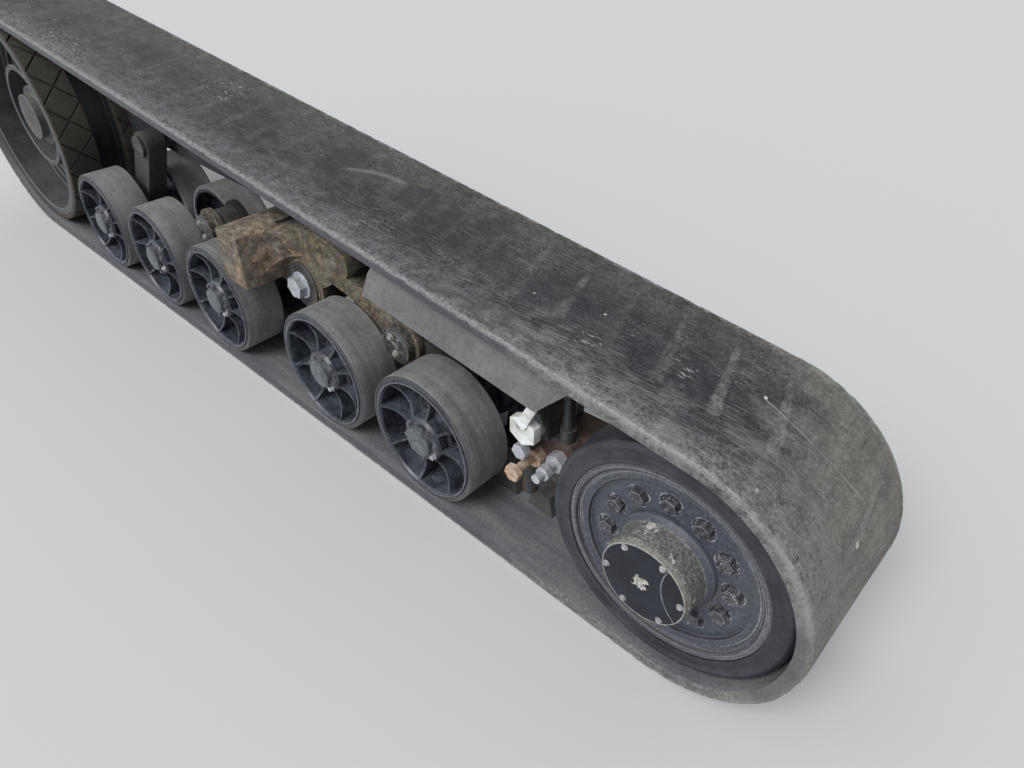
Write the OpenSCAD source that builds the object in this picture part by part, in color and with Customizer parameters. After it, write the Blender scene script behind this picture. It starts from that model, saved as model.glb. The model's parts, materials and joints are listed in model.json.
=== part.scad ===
// Rubber-belt track undercarriage of an asphalt paver, right-hand side.
// Millimetres. X forward, Y to the left (inboard is +Y), Z up, belt on Z = 0.
// Origin: under the middle of the belt's length and width, on the ground.

/* [Belt] */
// Width of the rubber belt
belt_width = 380; // [300:5:460]
// Thickness of the belt
belt_thick = 30; // [20:1:40]
// Distance from the front wheel's axle to the drive wheel's axle
wheelbase = 2979; // [2600:1:3400]
// Radius of the belt's outside round the front wheel
front_wrap_r = 295; // [270:1:320]
// Radius of the belt's outside round the drive wheel
drive_wrap_r = 432; // [400:1:470]
// Height of the guide lugs inside the belt
lug_height = 60; // [40:1:70]
// Width of a guide lug across the belt
lug_width = 70; // [50:1:80]
// Length of a guide lug at its root, along the belt
lug_length = 84; // [60:1:95]
// Guide lugs on each straight run
straight_lugs = 26; // [20:1:30]
// Guide lugs round the front wheel
front_lugs = 7; // [5:1:8]
// Guide lugs round the drive wheel
drive_lugs = 11; // [8:1:12]

/* [Wheel clearances] */
// Gap between a turning wheel's tread and the inside of the belt
tread_gap = 5; // [5:1:8]
// Running gap round a turning shaft
run_gap = 0.1; // [0.05:0.01:0.1]
// Distance from the middle plane to the inner face of a wheel
wheel_inner_y = 59; // [55:1:70]

/* [Front wheel] */
// Distance from the middle plane to the front wheel's outer face
front_face_y = 170; // [150:1:180]
// Thickness of the front wheel's rubber tyre
front_rubber = 44; // [30:1:60]
// Radius of the recess with the bolts
front_recess_r = 163; // [150:1:175]
// Radius of the circle of wheel bolts
front_bolt_circle_r = 134.5; // [125:0.5:142]
// Number of wheel bolts
front_bolts = 12; // [8:1:14]
// Radius of the hub's barrel
front_hub_r = 92; // [80:1:100]
// How far the hub cover stands out beyond the belt's edge
hub_reach = 39; // [20:1:60]

/* [Drive wheel] */
// Distance from the middle plane to the drive wheel's outer face
drive_face_y = 170; // [150:1:178]
// Thickness of the drive wheel's rubber lagging
lagging = 22; // [15:1:30]
// Radius of the final drive's housing
final_drive_r = 150; // [120:1:180]
// Radius of the final drive's mounting flange
final_flange_r = 190; // [170:1:220]
// Radius of the final drive's spigot that carries the wheel
spigot_r = 78; // [60:1:90]
// Bolt circle diameter of the final drive's flange
final_flange_pcd = 340; // [300:2:370]
// Number of bolts in the final drive's flange
final_flange_bolts = 12; // [8:1:16]

/* [Rollers] */
// Radius of a roller over its rubber
roller_r = 172; // [150:1:185]
// Distance from the middle plane to a roller's outer face
roller_face_y = 184; // [170:1:186]
// Thickness of a roller's rubber
roller_rubber = 13; // [10:1:18]
// First roller's distance behind the front axle, in hundredths of the wheelbase
roller_start = 22.054; // [21.9:0.002:23]
// Distance between rollers in a pair, in hundredths of the wheelbase
roller_pitch = 13.226; // [13.1:0.002:13.4]
// Third roller's distance behind the front axle, in hundredths of the wheelbase
third_roller = 53.374; // [52.5:0.002:53.6]
// Radius of a roller axle
axle_r = 28; // [20:1:35]
// Number of spoke ribs in a roller wheel
roller_ribs = 8; // [6:2:12]
// How far a spoke rib's edge dips below the wheel's face, half way out
rib_dip = 24; // [0:1:30]

/* [Bogies and yoke] */
// Distance from the middle plane to a bogie beam's side
beam_y = 33; // [25:1:40]
// Distance from the middle plane to the yoke's side
yoke_y = 54; // [48:1:56]
// Main pivot's distance behind the front axle, in hundredths of the wheelbase
pivot_back = 42.48; // [42.4:0.01:42.6]
// Height of the main pivot
pivot_z = 337; // [333:1:341]
// The cross beam's front face behind the front axle, in hundredths of the wheelbase
beam_back = 46.09; // [46:0.01:46.2]
// Depth of the cross beam along the belt
beam_depth = 86; // [60:1:90]
// Height of the cross beam's underside
beam_z = 334; // [328:1:345]
// Height of the cross beam
beam_h = 154; // [120:1:160]
// Radius of the main pivot shaft
pivot_r = 45; // [35:1:55]
// Height of the bogie pins
bogie_pin_z = 330; // [324:1:336]
// Radius of the bogie pins
bogie_pin_r = 24; // [18:1:30]

/* [Frame] */
// Distance from the middle plane to the face bolted to the machine
mount_y = 233; // [210:1:260]
// Thickness of the mounting plates
mount_plate = 20; // [12:1:30]
// Radius of the mounting bolt holes
mount_hole_r = 11; // [8:0.5:15]
// Height of the frame rail's underside
rail_z = 440; // [420:1:460]
// Height of the frame rail
rail_h = 90; // [70:1:110]

/* [Hidden] */
$fn = 64;

total_length = front_wrap_r + wheelbase + drive_wrap_r;
front_x = total_length / 2 - front_wrap_r;
drive_x = front_x - wheelbase;
front_z = front_wrap_r;
drive_z = drive_wrap_r;
run_angle = 2 * atan((front_wrap_r - drive_wrap_r) / wheelbase);
front_r = front_wrap_r - belt_thick - tread_gap;
drive_r = drive_wrap_r - belt_thick - tread_gap;
half_belt = belt_width / 2;
roller_z = belt_thick + roller_r;
// Place along the belt, from a distance behind the front axle in hundredths of the wheelbase
function along(share) = front_x - share * wheelbase / 100;
roller_x = [
  along(roller_start),
  along(roller_start + roller_pitch),
  along(third_roller),
  along(third_roller + roller_pitch),
  along(third_roller + 2 * roller_pitch)
];
front_bogie_x = (roller_x[0] + roller_x[1]) / 2;
rear_bogie_x = (roller_x[2] + roller_x[3]) / 2;
pivot_x = along(pivot_back);
beam_x = along(beam_back) - beam_depth;
roller_rim_r = roller_r - roller_rubber;
front_rim_r = front_r - front_rubber;
drive_rim_r = drive_r - lagging;
hub_end_y = half_belt + hub_reach;
front_shaft_r = 38;

wrap_in = front_wrap_r - belt_thick;
top_dip = 0.1;
// Height of the top run's inner face at x
function run_z(x) =
  front_z + wrap_in * cos(run_angle) + tan(run_angle) * (x - front_x + wrap_in * sin(run_angle));

// A flat shape in X and Z given thickness from y_lo to y_hi
module slab(y_lo, y_hi) {
  translate([0, y_hi, 0])
  rotate([90, 0, 0])
  linear_extrude(height = y_hi - y_lo)
  children();
}

module disc2(x, z, r) {
  translate([x, z])
  circle(r = r);
}

module ring2(x, z, r_out, r_in) {
  difference() {
    disc2(x, z, r_out);
    disc2(x, z, r_in);
  }
}

// The loop's outline for belt radii reduced by d; the top run dips into both wraps by top_dip
module loop2(d) {
  rf = front_wrap_r - d;
  rd = drive_wrap_r - d;
  nx = -sin(run_angle);
  nz = cos(run_angle);
  union() {
    disc2(front_x, front_z, rf);
    disc2(drive_x, drive_z, rd);
    polygon([
      [drive_x, drive_z - rd],
      [front_x, front_z - rf],
      [front_x + (rf - top_dip) * nx, front_z + (rf - top_dip) * nz],
      [drive_x + (rd - top_dip) * nx, drive_z + (rd - top_dip) * nz]
    ]);
  }
}

module belt() {
  color([0.20, 0.20, 0.21])
  slab(-half_belt, half_belt)
  difference() {
    loop2(0);
    loop2(belt_thick);
  }
}

// One guide lug, its root sunk past the belt's inner face
module lug2() {
  polygon([
    [-lug_length / 2, -8],
    [lug_length / 2, -8],
    [lug_length / 2 - 4, 4],
    [lug_length / 2 - 16, lug_height],
    [-lug_length / 2 + 16, lug_height],
    [-lug_length / 2 + 4, 4]
  ]);
}

module belt_guide_lugs() {
  step = wheelbase / straight_lugs;
  front_step = (180 + run_angle) / front_lugs;
  drive_step = (180 - run_angle) / drive_lugs;
  color([0.16, 0.16, 0.17])
  slab(-lug_width / 2, lug_width / 2)
  intersection() {
    loop2(belt_thick);
    union() {
      for (i = [0 : straight_lugs - 1])
        translate([drive_x + (i + 0.5) * step, belt_thick])
        lug2();
      for (i = [0 : straight_lugs - 1])
        translate([
          front_x - (front_wrap_r - belt_thick) * sin(run_angle) - (i + 0.5) * step * cos(run_angle),
          front_z + (front_wrap_r - belt_thick) * cos(run_angle) - (i + 0.5) * step * sin(run_angle)
        ])
        rotate(180 + run_angle)
        lug2();
      for (i = [0 : front_lugs - 1])
        translate([front_x, front_z])
        rotate(-90 + (i + 0.5) * front_step)
        translate([front_wrap_r - belt_thick, 0])
        rotate(90)
        lug2();
      for (i = [0 : drive_lugs - 1])
        translate([drive_x, drive_z])
        rotate(90 + run_angle + (i + 0.5) * drive_step)
        translate([drive_wrap_r - belt_thick, 0])
        rotate(90)
        lug2();
    }
  }
}

module front_wheel_tyres() {
  color([0.15, 0.15, 0.16])
  for (s = [-1, 1])
    slab(min(s * wheel_inner_y, s * front_face_y), max(s * wheel_inner_y, s * front_face_y))
    ring2(front_x, front_z, front_r, front_rim_r);
}

bolt_turn = 5.3;
pocket_depth = 5;

// Stepped disc of one half of the front wheel; s = -1 is the outer half
module front_rim(s) {
  step1 = front_face_y - 4;
  step2 = front_face_y - 12;
  step3 = front_face_y - 22;
  plate = front_face_y - 44;
  color([0.12, 0.13, 0.16])
  difference() {
    union() {
      slab(s < 0 ? -step1 : wheel_inner_y, s < 0 ? -wheel_inner_y : step1)
      ring2(front_x, front_z, front_rim_r, front_rim_r - 14);
      slab(s < 0 ? -step2 : plate, s < 0 ? -plate : step2)
      ring2(front_x, front_z, front_rim_r - 12, front_recess_r + 14);
      slab(s < 0 ? -step3 : plate, s < 0 ? -plate : step3)
      ring2(front_x, front_z, front_recess_r + 16, front_hub_r + 12);
    }
    if (s < 0)
      for (i = [0 : front_bolts - 1])
        slab(-step3 - 1, -step3 + pocket_depth)
        disc2(
          front_x + front_bolt_circle_r * cos(bolt_turn + i * 360 / front_bolts),
          front_z + front_bolt_circle_r * sin(bolt_turn + i * 360 / front_bolts),
          22
        );
  }
}

module front_wheel_hub() {
  color([0.36, 0.33, 0.27])
  union() {
    slab(-hub_end_y + 12, -(front_face_y - 44))
    ring2(front_x, front_z, front_hub_r, 60);
    slab(-front_face_y + 14, -(front_face_y - 44))
    ring2(front_x, front_z, front_hub_r + 12, 60);
    translate([front_x, -front_face_y + 14, front_z])
    rotate([90, 0, 0])
    cylinder(r1 = front_hub_r + 12, r2 = front_hub_r - 1, h = 13);
    slab(-(front_face_y - 20), front_face_y - 20)
    disc2(front_x, front_z, front_shaft_r);
    slab(-(front_face_y - 20), -(front_face_y - 44))
    disc2(front_x, front_z, 62);
    slab(front_face_y - 44, front_face_y - 14)
    disc2(front_x, front_z, front_hub_r + 12);
  }
}

module front_hub_cover() {
  color([0.13, 0.13, 0.15])
  union() {
    slab(-hub_end_y, -hub_end_y + 12)
    disc2(front_x, front_z, front_hub_r - 3);
    slab(-hub_end_y - 4, -hub_end_y)
    disc2(front_x, front_z, 12);
  }
}

module front_wheel_bolts() {
  color([0.10, 0.10, 0.11])
  for (i = [0 : front_bolts - 1])
    slab(-front_face_y + 10, -front_face_y + 22 + pocket_depth)
    translate([
      front_x + front_bolt_circle_r * cos(bolt_turn + i * 360 / front_bolts),
      front_z + front_bolt_circle_r * sin(bolt_turn + i * 360 / front_bolts)
    ])
    rotate(i * 17)
    circle(r = 17.3, $fn = 6);
}

module drive_wheel_lagging() {
  color([0.22, 0.22, 0.21])
  for (s = [-1, 1])
    slab(min(s * 50, s * drive_face_y), max(s * 50, s * drive_face_y))
    ring2(drive_x, drive_z, drive_r, drive_rim_r);
}

module drive_wheel_rim() {
  groove_r = drive_wrap_r - belt_thick - lug_height - 17;
  color([0.14, 0.14, 0.16])
  union() {
    for (s = [-1, 1])
      slab(min(s * 50, s * drive_face_y), max(s * 50, s * drive_face_y))
      ring2(drive_x, drive_z, drive_rim_r, drive_rim_r - 24);
    for (s = [-1, 1])
      slab(min(s * 50, s * 62), max(s * 50, s * 62))
      ring2(drive_x, drive_z, drive_rim_r, groove_r - 22);
    slab(-55, 55)
    ring2(drive_x, drive_z, groove_r, groove_r - 22);
    slab(-44, -24)
    ring2(drive_x, drive_z, groove_r - 10, 110);
    slab(-120, -44)
    ring2(drive_x, drive_z, 190, 172);
  }
}

module drive_wheel_hub() {
  color([0.20, 0.19, 0.18])
  difference() {
    union() {
      slab(-96, -24)
      disc2(drive_x, drive_z, 110);
      slab(-24, -8)
      disc2(drive_x, drive_z, 140);
      slab(-128, -96)
      disc2(drive_x, drive_z, 84);
    }
    slab(-62, 0)
    disc2(drive_x, drive_z, spigot_r + run_gap);
  }
}

module roller_tyres(n) {
  outer = roller_face_y - 4;
  color([0.32, 0.31, 0.28])
  for (s = [-1, 1])
    slab(min(s * wheel_inner_y, s * outer), max(s * wheel_inner_y, s * outer))
    ring2(roller_x[n], roller_z, roller_r, roller_rim_r);
}

// Turns of the five roller wheels about their axles, so that their spokes differ
roller_spin = [171, 153, 160, 178, 146];
rim_wall = 10;
rib_thick = 7;
rib_in_r = 40;
rib_out_r = roller_rim_r - 7;
// Height of a rib's edge above the middle plane at radius r
function rib_edge(r) =
  roller_face_y - 4 * rib_dip * (r - rib_in_r) / (rib_out_r - rib_in_r)
  * (1 - (r - rib_in_r) / (rib_out_r - rib_in_r));

// Cross-section of the dished web, radius and distance from the middle plane
web_line = [[50, 140], [66, 134], [90, 122], [120, 111], [roller_rim_r - 5, 107]];
web_thick = 11;

module web_section2() {
  polygon(concat(
    [for (p = web_line) [p[0], p[1] + web_thick]],
    [for (k = [len(web_line) - 1 : -1 : 0]) web_line[k]]
  ));
}

module rib_section2() {
  polygon(concat(
    [for (k = [0 : 10]) let (r = 50 + (rib_out_r - 50) * k / 10) [r, rib_edge(r)]],
    [for (k = [len(web_line) - 1 : -1 : 0]) [min(web_line[k][0], rib_out_r), web_line[k][1] + 2]]
  ));
}

// Opening between two spokes, seen along the axle, centred on the X axis
window_line = [
  [70, -10], [70, 10], [76, 14.5], [100, 16.6], [128, 18], [138, 15.5], [141, 9],
  [141.5, 0], [141, -9], [138, -15.5], [128, -18], [100, -16.6], [76, -14.5]
];

module window2() {
  polygon([for (p = window_line) [p[0] * cos(p[1]), p[0] * sin(p[1])]]);
}

// One spoked wheel about the Z axis, its outer face up
module spoked_wheel() {
  step = 360 / roller_ribs;
  union() {
    rotate_extrude()
    polygon([
      [roller_rim_r - rim_wall, wheel_inner_y],
      [roller_rim_r, wheel_inner_y],
      [roller_rim_r, roller_face_y - 4],
      [roller_rim_r - 2, roller_face_y],
      [roller_rim_r - 6, roller_face_y],
      [roller_rim_r - rim_wall, roller_face_y - 6]
    ]);
    difference() {
      rotate_extrude()
      web_section2();
      for (i = [0 : 2 : roller_ribs - 1])
        rotate([0, 0, -(i + 1.5) * step])
        translate([0, 0, 90])
        linear_extrude(height = 90)
        window2();
    }
    for (i = [0 : roller_ribs - 1])
      rotate([0, 0, i * step])
      translate([0, rib_thick / 2, 0])
      rotate([90, 0, 0])
      linear_extrude(height = rib_thick)
      rib_section2();
    rotate_extrude()
    polygon([
      [axle_r, wheel_inner_y],
      [56, wheel_inner_y],
      [60, wheel_inner_y + 8],
      [60, roller_face_y - 14],
      [54, roller_face_y - 6],
      [axle_r, roller_face_y - 6]
    ]);
    translate([0, 0, roller_face_y - 26])
    cylinder(r = 39, h = half_belt + 1 - roller_face_y + 26);
    translate([0, 0, half_belt + 1])
    cylinder(r1 = 39, r2 = 33, h = 3);
  }
}

module roller_wheels(n) {
  color([0.16, 0.17, 0.19])
  for (turn = [0, 180])
    translate([roller_x[n], 0, roller_z])
    rotate([0, 0, turn])
    rotate([90, -roller_spin[n], 0])
    spoked_wheel();
}

module roller_axle(n) {
  color([0.30, 0.30, 0.31])
  slab(-roller_face_y + 26, roller_face_y - 26)
  disc2(roller_x[n], roller_z, axle_r);
}

module bogie_beam(x1, x2, px) {
  color([0.30, 0.24, 0.18])
  difference() {
    union() {
      slab(-beam_y, beam_y)
      union() {
        disc2(px, bogie_pin_z, 50);
        polygon([
          [x1, roller_z - 34],
          [x1 + 30, roller_z + 26],
          [px + 36, bogie_pin_z + 34],
          [px - 36, bogie_pin_z + 34],
          [x2 - 30, roller_z + 26],
          [x2, roller_z - 34]
        ]);
      }
      for (x = [x1, x2])
        slab(-48, 48)
        disc2(x, roller_z, 46);
    }
    slab(-60, 60)
    disc2(px, bogie_pin_z, bogie_pin_r);
    for (x = [x1, x2])
      slab(-60, 60)
      disc2(x, roller_z, axle_r);
  }
}

bogie_cap_r = 50;

module bogie_pin(px) {
  color([0.26, 0.22, 0.18])
  union() {
    slab(-yoke_y, yoke_y)
    disc2(px, bogie_pin_z, bogie_pin_r);
    slab(-yoke_y - 24, -yoke_y)
    disc2(px, bogie_pin_z, bogie_cap_r);
    slab(-yoke_y - 28, -yoke_y - 24)
    disc2(px, bogie_pin_z, bogie_cap_r - 9);
    slab(yoke_y, yoke_y + 4)
    disc2(px, bogie_pin_z, bogie_cap_r - 10);
  }
}

arm_pin_x = roller_x[4] + 170;
arm_pin_z = rail_z + rail_h / 2;

module trailing_roller_arm() {
  color([0.28, 0.23, 0.18])
  difference() {
    union() {
      slab(-beam_y, beam_y)
      union() {
        disc2(roller_x[4], roller_z, 46);
        disc2(arm_pin_x, arm_pin_z, 46);
        polygon([
          [roller_x[4] - 42, roller_z + 18],
          [roller_x[4] + 36, roller_z - 28],
          [arm_pin_x + 42, arm_pin_z - 18],
          [arm_pin_x - 36, arm_pin_z + 28]
        ]);
      }
      slab(-48, 48)
      disc2(roller_x[4], roller_z, 46);
    }
    slab(-60, 60)
    disc2(roller_x[4], roller_z, axle_r);
    slab(-60, 60)
    disc2(arm_pin_x, arm_pin_z, bogie_pin_r);
  }
}

module trailing_arm_pin() {
  color([0.30, 0.26, 0.22])
  union() {
    slab(-beam_y, 70)
    disc2(arm_pin_x, arm_pin_z, bogie_pin_r);
    slab(-beam_y - 14, -beam_y)
    disc2(arm_pin_x, arm_pin_z, 36);
  }
}

// Outline of the yoke, as hundredths of the wheelbase behind the front axle and heights
yoke_top = [
  [61.43, 318], [59.99, 345], [55.69, 352], [52.37, 392], [49.01, 446], [44.65, 494],
  [39.78, 517], [37.6, 510], [35.52, 492], [35.35, 449], [35.8, 427], [34.9, 419],
  [33.06, 428], [31.6, 436], [30.2, 414], [29.1, 396]
];
yoke_low = [
  [28.9, 280], [30.38, 276], [32.22, 328], [34.91, 372], [37.93, 386], [40.28, 340],
  [42.8, 264], [45.32, 300], [48.67, 314], [53.37, 268], [57.07, 262], [59.99, 262], [61.6, 284]
];

function yoke_points(row, drop) = [for (p = row) [along(p[0]), p[1] - drop]];

module yoke2() {
  union() {
    polygon(concat(yoke_points(yoke_top, 0), yoke_points(yoke_low, 0)));
    for (x = [front_bogie_x, rear_bogie_x])
      disc2(x, bogie_pin_z, bogie_cap_r + 12);
  }
}

// Strip under the yoke's top outline, between two distances behind the front axle
module yoke_band2() {
  n = len(yoke_top);
  polygon(concat(
    yoke_points([for (k = [2 : n - 2]) yoke_top[k]], 0),
    yoke_points([for (k = [n - 2 : -1 : 2]) [yoke_top[k][0] + (k == 8 || k == 9 ? 0.9 : 0), yoke_top[k][1]]], 24)
  ));
}

module beam2() {
  translate([beam_x, beam_z])
  square([beam_depth, beam_h]);
}

// Shares of the way from the beam's near end to the yoke, and how far the flare stands forward there
flare_steps = [[0, 18], [0.28, 23], [0.48, 32], [0.63, 44], [0.75, 60], [0.87, 84], [1, 116]];

function flare_y(i) = -half_belt + 4 + flare_steps[i][0] * (half_belt - yoke_y - 4.06);

// Plan of the flare in front of the cross beam, X and Y
module flare_plan2() {
  x = beam_x + beam_depth;
  last = len(flare_steps) - 1;
  polygon(concat(
    [for (i = [0 : last]) [x + flare_steps[i][1], flare_y(i)]],
    [[x - 4, flare_y(last)], [x - 4, flare_y(0)]]
  ));
}

module cross_beam() {
  color([0.45, 0.30, 0.19])
  difference() {
    union() {
      slab(-half_belt + 4, mount_y - mount_plate)
      beam2();
      translate([0, 0, beam_z])
      linear_extrude(height = beam_h)
      flare_plan2();
      slab(mount_y - mount_plate, mount_y)
      translate([beam_x - 60, beam_z - 45])
      square([beam_depth + 60, beam_h + 90]);
    }
    slab(-half_belt, -yoke_y + 1)
    disc2(pivot_x, pivot_z, boss_r + 2);
    for (dx = [-36, beam_depth - 20], dz = [-25, beam_h + 25])
      slab(mount_y - mount_plate - 1, mount_y + 1)
      disc2(beam_x + dx, beam_z + dz, mount_hole_r);
  }
}

boss_r = 82;

module yoke_casting() {
  color([0.42, 0.28, 0.18])
  difference() {
    union() {
      for (s = [-1, 1])
        slab(min(s * (beam_y + 1), s * yoke_y), max(s * (beam_y + 1), s * yoke_y))
        yoke2();
      slab(-beam_y - 2, beam_y + 2)
      yoke_band2();
      slab(-yoke_y - 3, yoke_y)
      disc2(pivot_x, pivot_z, boss_r);
      slab(-yoke_y - 7, yoke_y)
      disc2(pivot_x, pivot_z, boss_r - 9);
    }
    slab(-120, 120)
    disc2(pivot_x, pivot_z, pivot_r);
    slab(-120, 120)
    beam2();
    for (x = [front_bogie_x, rear_bogie_x])
      slab(-120, 120)
      disc2(x, bogie_pin_z, bogie_pin_r);
  }
}

module main_pivot_shaft() {
  color([0.20, 0.19, 0.18])
  difference() {
    union() {
      slab(-yoke_y - 8, mount_y - mount_plate)
      disc2(pivot_x, pivot_z, pivot_r);
      slab(-yoke_y - 13, -yoke_y - 7)
      disc2(pivot_x, pivot_z, boss_r - 15);
      slab(mount_y - mount_plate, mount_y)
      disc2(pivot_x, pivot_z, 90);
    }
    for (i = [0 : 7])
      slab(mount_y - mount_plate - 1, mount_y + 1)
      disc2(
        pivot_x + 66 * cos(22.5 + 45 * i),
        pivot_z + 66 * sin(22.5 + 45 * i),
        mount_hole_r
      );
  }
}

module main_pivot_bolt() {
  color([0.75, 0.76, 0.78])
  union() {
    slab(-yoke_y - 18, -yoke_y - 13)
    disc2(pivot_x, pivot_z, 40);
    slab(-yoke_y - 42, -yoke_y - 18)
    translate([pivot_x, pivot_z])
    rotate(12)
    circle(r = 33, $fn = 6);
  }
}

module idler_arm() {
  color([0.38, 0.25, 0.17])
  difference() {
    union() {
      slab(-45, 45)
      disc2(front_x, front_z, 82);
      slab(-42, 42)
      polygon([
        [front_x - 20, front_z + 62],
        [front_x - 400, front_z + 34],
        [front_x - 440, front_z + 20],
        [front_x - 440, front_z - 40],
        [front_x - 20, front_z - 62]
      ]);
    }
    slab(-60, 60)
    disc2(front_x, front_z, front_shaft_r + run_gap);
  }
}

cyl_z = rail_z - 8;
cyl_r = 46;

module tension_cylinder() {
  color([0.16, 0.16, 0.17])
  union() {
    translate([front_x - 700, 0, cyl_z])
    rotate([0, 90, 0])
    cylinder(r = cyl_r, h = 300);
    translate([front_x - 400, 0, cyl_z])
    rotate([0, 90, 0])
    cylinder(r = 26, h = 60);
    slab(-30, 30)
    polygon([
      [front_x - 340, cyl_z + 30],
      [front_x - 360, cyl_z + 30],
      [front_x - 360, front_z + 37],
      [front_x - 340, front_z + 38.6]
    ]);
    slab(20, 70)
    polygon([
      [front_x - 690, cyl_z - 30],
      [front_x - 620, cyl_z - 30],
      [front_x - 620, cyl_z + 60],
      [front_x - 690, cyl_z + 60]
    ]);
  }
}

block_y = 76;
// Places on the block's face from the front axle, forward and up
adjuster = [-378, -27];
lock_stud = [-315, -5];
clamp_bolt = [-379, 19];
cap_at = [-363, 95];
pipe_r = 14;

module at_axle(p) {
  translate([front_x + p[0], front_z + p[1]])
  children();
}

module hex2(p, r, turn) {
  at_axle(p)
  rotate(turn)
  circle(r = r, $fn = 6);
}

module tensioner_block() {
  color([0.30, 0.22, 0.17])
  union() {
    slab(-block_y, -42)
    polygon([
      [front_x - 412, front_z - 84],
      [front_x - 310, front_z - 84],
      [front_x - 284, front_z - 60],
      [front_x - 284, front_z + 32],
      [front_x - 292, front_z + 44],
      [front_x - 412, front_z + 44]
    ]);
    slab(-block_y - 46, -block_y)
    at_axle(clamp_bolt)
    circle(r = 15);
    translate([front_x - 393, -block_y - 6, front_z - 142])
    cylinder(r = 19, h = 80);
  }
}

// A clamp bolt on its spacer, and a stud with its nuts
module tensioner_bolts() {
  color([0.66, 0.66, 0.67])
  union() {
    slab(-block_y - 66, -block_y - 46)
    hex2(clamp_bolt, 20, 10);
    slab(-block_y - 24, -block_y)
    hex2(lock_stud, 25, 20);
    slab(-block_y - 84, -block_y - 24)
    at_axle(lock_stud)
    circle(r = 11);
    slab(-block_y - 62, -block_y - 44)
    hex2(lock_stud, 18, 5);
  }
}

module adjuster_bolt() {
  color([0.45, 0.31, 0.20])
  union() {
    slab(-block_y - 22, -block_y)
    at_axle(adjuster)
    circle(r = 24);
    slab(-block_y - 74, -block_y - 22)
    at_axle(adjuster)
    circle(r = 10);
    slab(-block_y - 90, -block_y - 74)
    hex2(adjuster, 21, 14);
  }
}

// Steel pipe up from the block, back along the cylinder and in to its side
module tension_feed_pipe() {
  x1 = front_x - 312;
  x2 = front_x - 424;
  y = -block_y + 16;
  top = cyl_z + 26;
  color([0.13, 0.13, 0.14])
  difference() {
    union() {
      translate([x1, y, front_z + 44])
      cylinder(r = pipe_r + 4, h = 34);
      translate([x1, y, front_z + 44])
      cylinder(r = pipe_r, h = top - front_z - 44);
      translate([x1, y, top])
      sphere(r = pipe_r);
      translate([x2, y, top])
      rotate([0, 90, 0])
      cylinder(r = pipe_r, h = x1 - x2);
      translate([x2, y, top])
      sphere(r = pipe_r);
      translate([x2, y, top])
      rotate([-90, 0, 0])
      cylinder(r = pipe_r, h = -y - 30);
    }
    translate([front_x - 700, 0, cyl_z])
    rotate([0, 90, 0])
    cylinder(r = cyl_r + 0.2, h = 300);
  }
}

module grease_valve_cap() {
  color([0.85, 0.85, 0.83])
  union() {
    difference() {
      slab(-150, -128)
      hex2(cap_at, 38, 30);
      slab(-151, -142)
      at_axle([cap_at[0] - 7, cap_at[1] + 6])
      rotate(20)
      square([17, 17], center = true);
    }
    slab(-128, -96)
    at_axle(cap_at)
    circle(r = 31);
    slab(-96, -42)
    translate([front_x - 392, front_z + 44])
    square([54, 74]);
    slab(-156, -150)
    at_axle(cap_at)
    polygon([[-10, 20], [10, 10], [40, 74], [20, 84]]);
  }
}

guard_drop = 86;

// Height of the guard's arms: under the lugs of the top run, against the frame rail
function guard_arm_z(x) = min(rail_z + rail_h - 14, run_z(x + 40) - lug_height - 26);

// Cross-section of the bent guard plate, in Y and height below the belt
module guard_section2() {
  polygon([
    [-120, -16],
    [-150, -16],
    [-187, -guard_drop],
    [-192, -guard_drop + 2],
    [-154, -10],
    [-120, -10]
  ]);
}

module belt_guard() {
  color([0.36, 0.36, 0.35])
  union() {
    translate([front_x, 0, run_z(front_x)])
    rotate([0, -run_angle, 0])
    intersection() {
      translate([-850, 0, 0])
      rotate([90, 0, 90])
      linear_extrude(height = 640)
      guard_section2();
      translate([0, 250, 0])
      rotate([90, 0, 0])
      linear_extrude(height = 500)
      polygon([
        [-786, 10],
        [-800, -40],
        [-790, -120],
        [-320, -120],
        [-236, -20],
        [-240, 10]
      ]);
    }
    for (x = [front_x - 740, front_x - 480]) {
      slab(-140, 70)
      translate([x, guard_arm_z(x)])
      square([40, 12]);
      slab(-140, -128)
      translate([x, guard_arm_z(x)])
      square([40, run_z(x + 20) - 13 - guard_arm_z(x)]);
    }
  }
}

module mount_plate_at(x) {
  difference() {
    slab(mount_y - mount_plate, mount_y)
    translate([x - 110, rail_z - 35])
    square([220, 160]);
    for (dx = [-80, 80], dz = [-50, 50])
      slab(mount_y - mount_plate - 1, mount_y + 1)
      disc2(x + dx, rail_z + 45 + dz, mount_hole_r);
  }
}

front_plate_x = along(25.51);
rear_plate_x = drive_x + drive_r + 322;
rail_back = drive_x + drive_r + 62;
rail_front = front_x - front_r - 150;

module track_frame() {
  color([0.22, 0.20, 0.19])
  difference() {
    union() {
      slab(70, 150)
      translate([rail_back, rail_z])
      square([rail_front - rail_back, rail_h]);
      for (x = [front_plate_x, rear_plate_x]) {
        slab(150, mount_y - mount_plate)
        translate([x - 60, rail_z + 5])
        square([120, rail_h - 10]);
        mount_plate_at(x);
      }
      slab(80, 150)
      translate([pivot_x - 52, pivot_z - 20])
      square([104, rail_z - pivot_z + 30]);
      slab(176, 200)
      polygon([
        [drive_x, drive_z + 110],
        [rear_plate_x, rail_z + rail_h - 5],
        [rear_plate_x, rail_z + 5],
        [drive_x, drive_z - 110]
      ]);
      slab(176, 200)
      disc2(drive_x, drive_z, final_drive_r + 24);
    }
    slab(60, 260)
    disc2(pivot_x, pivot_z, pivot_r);
    slab(60, 260)
    beam2();
    slab(150, 260)
    disc2(drive_x, drive_z, final_drive_r);
  }
}

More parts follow.
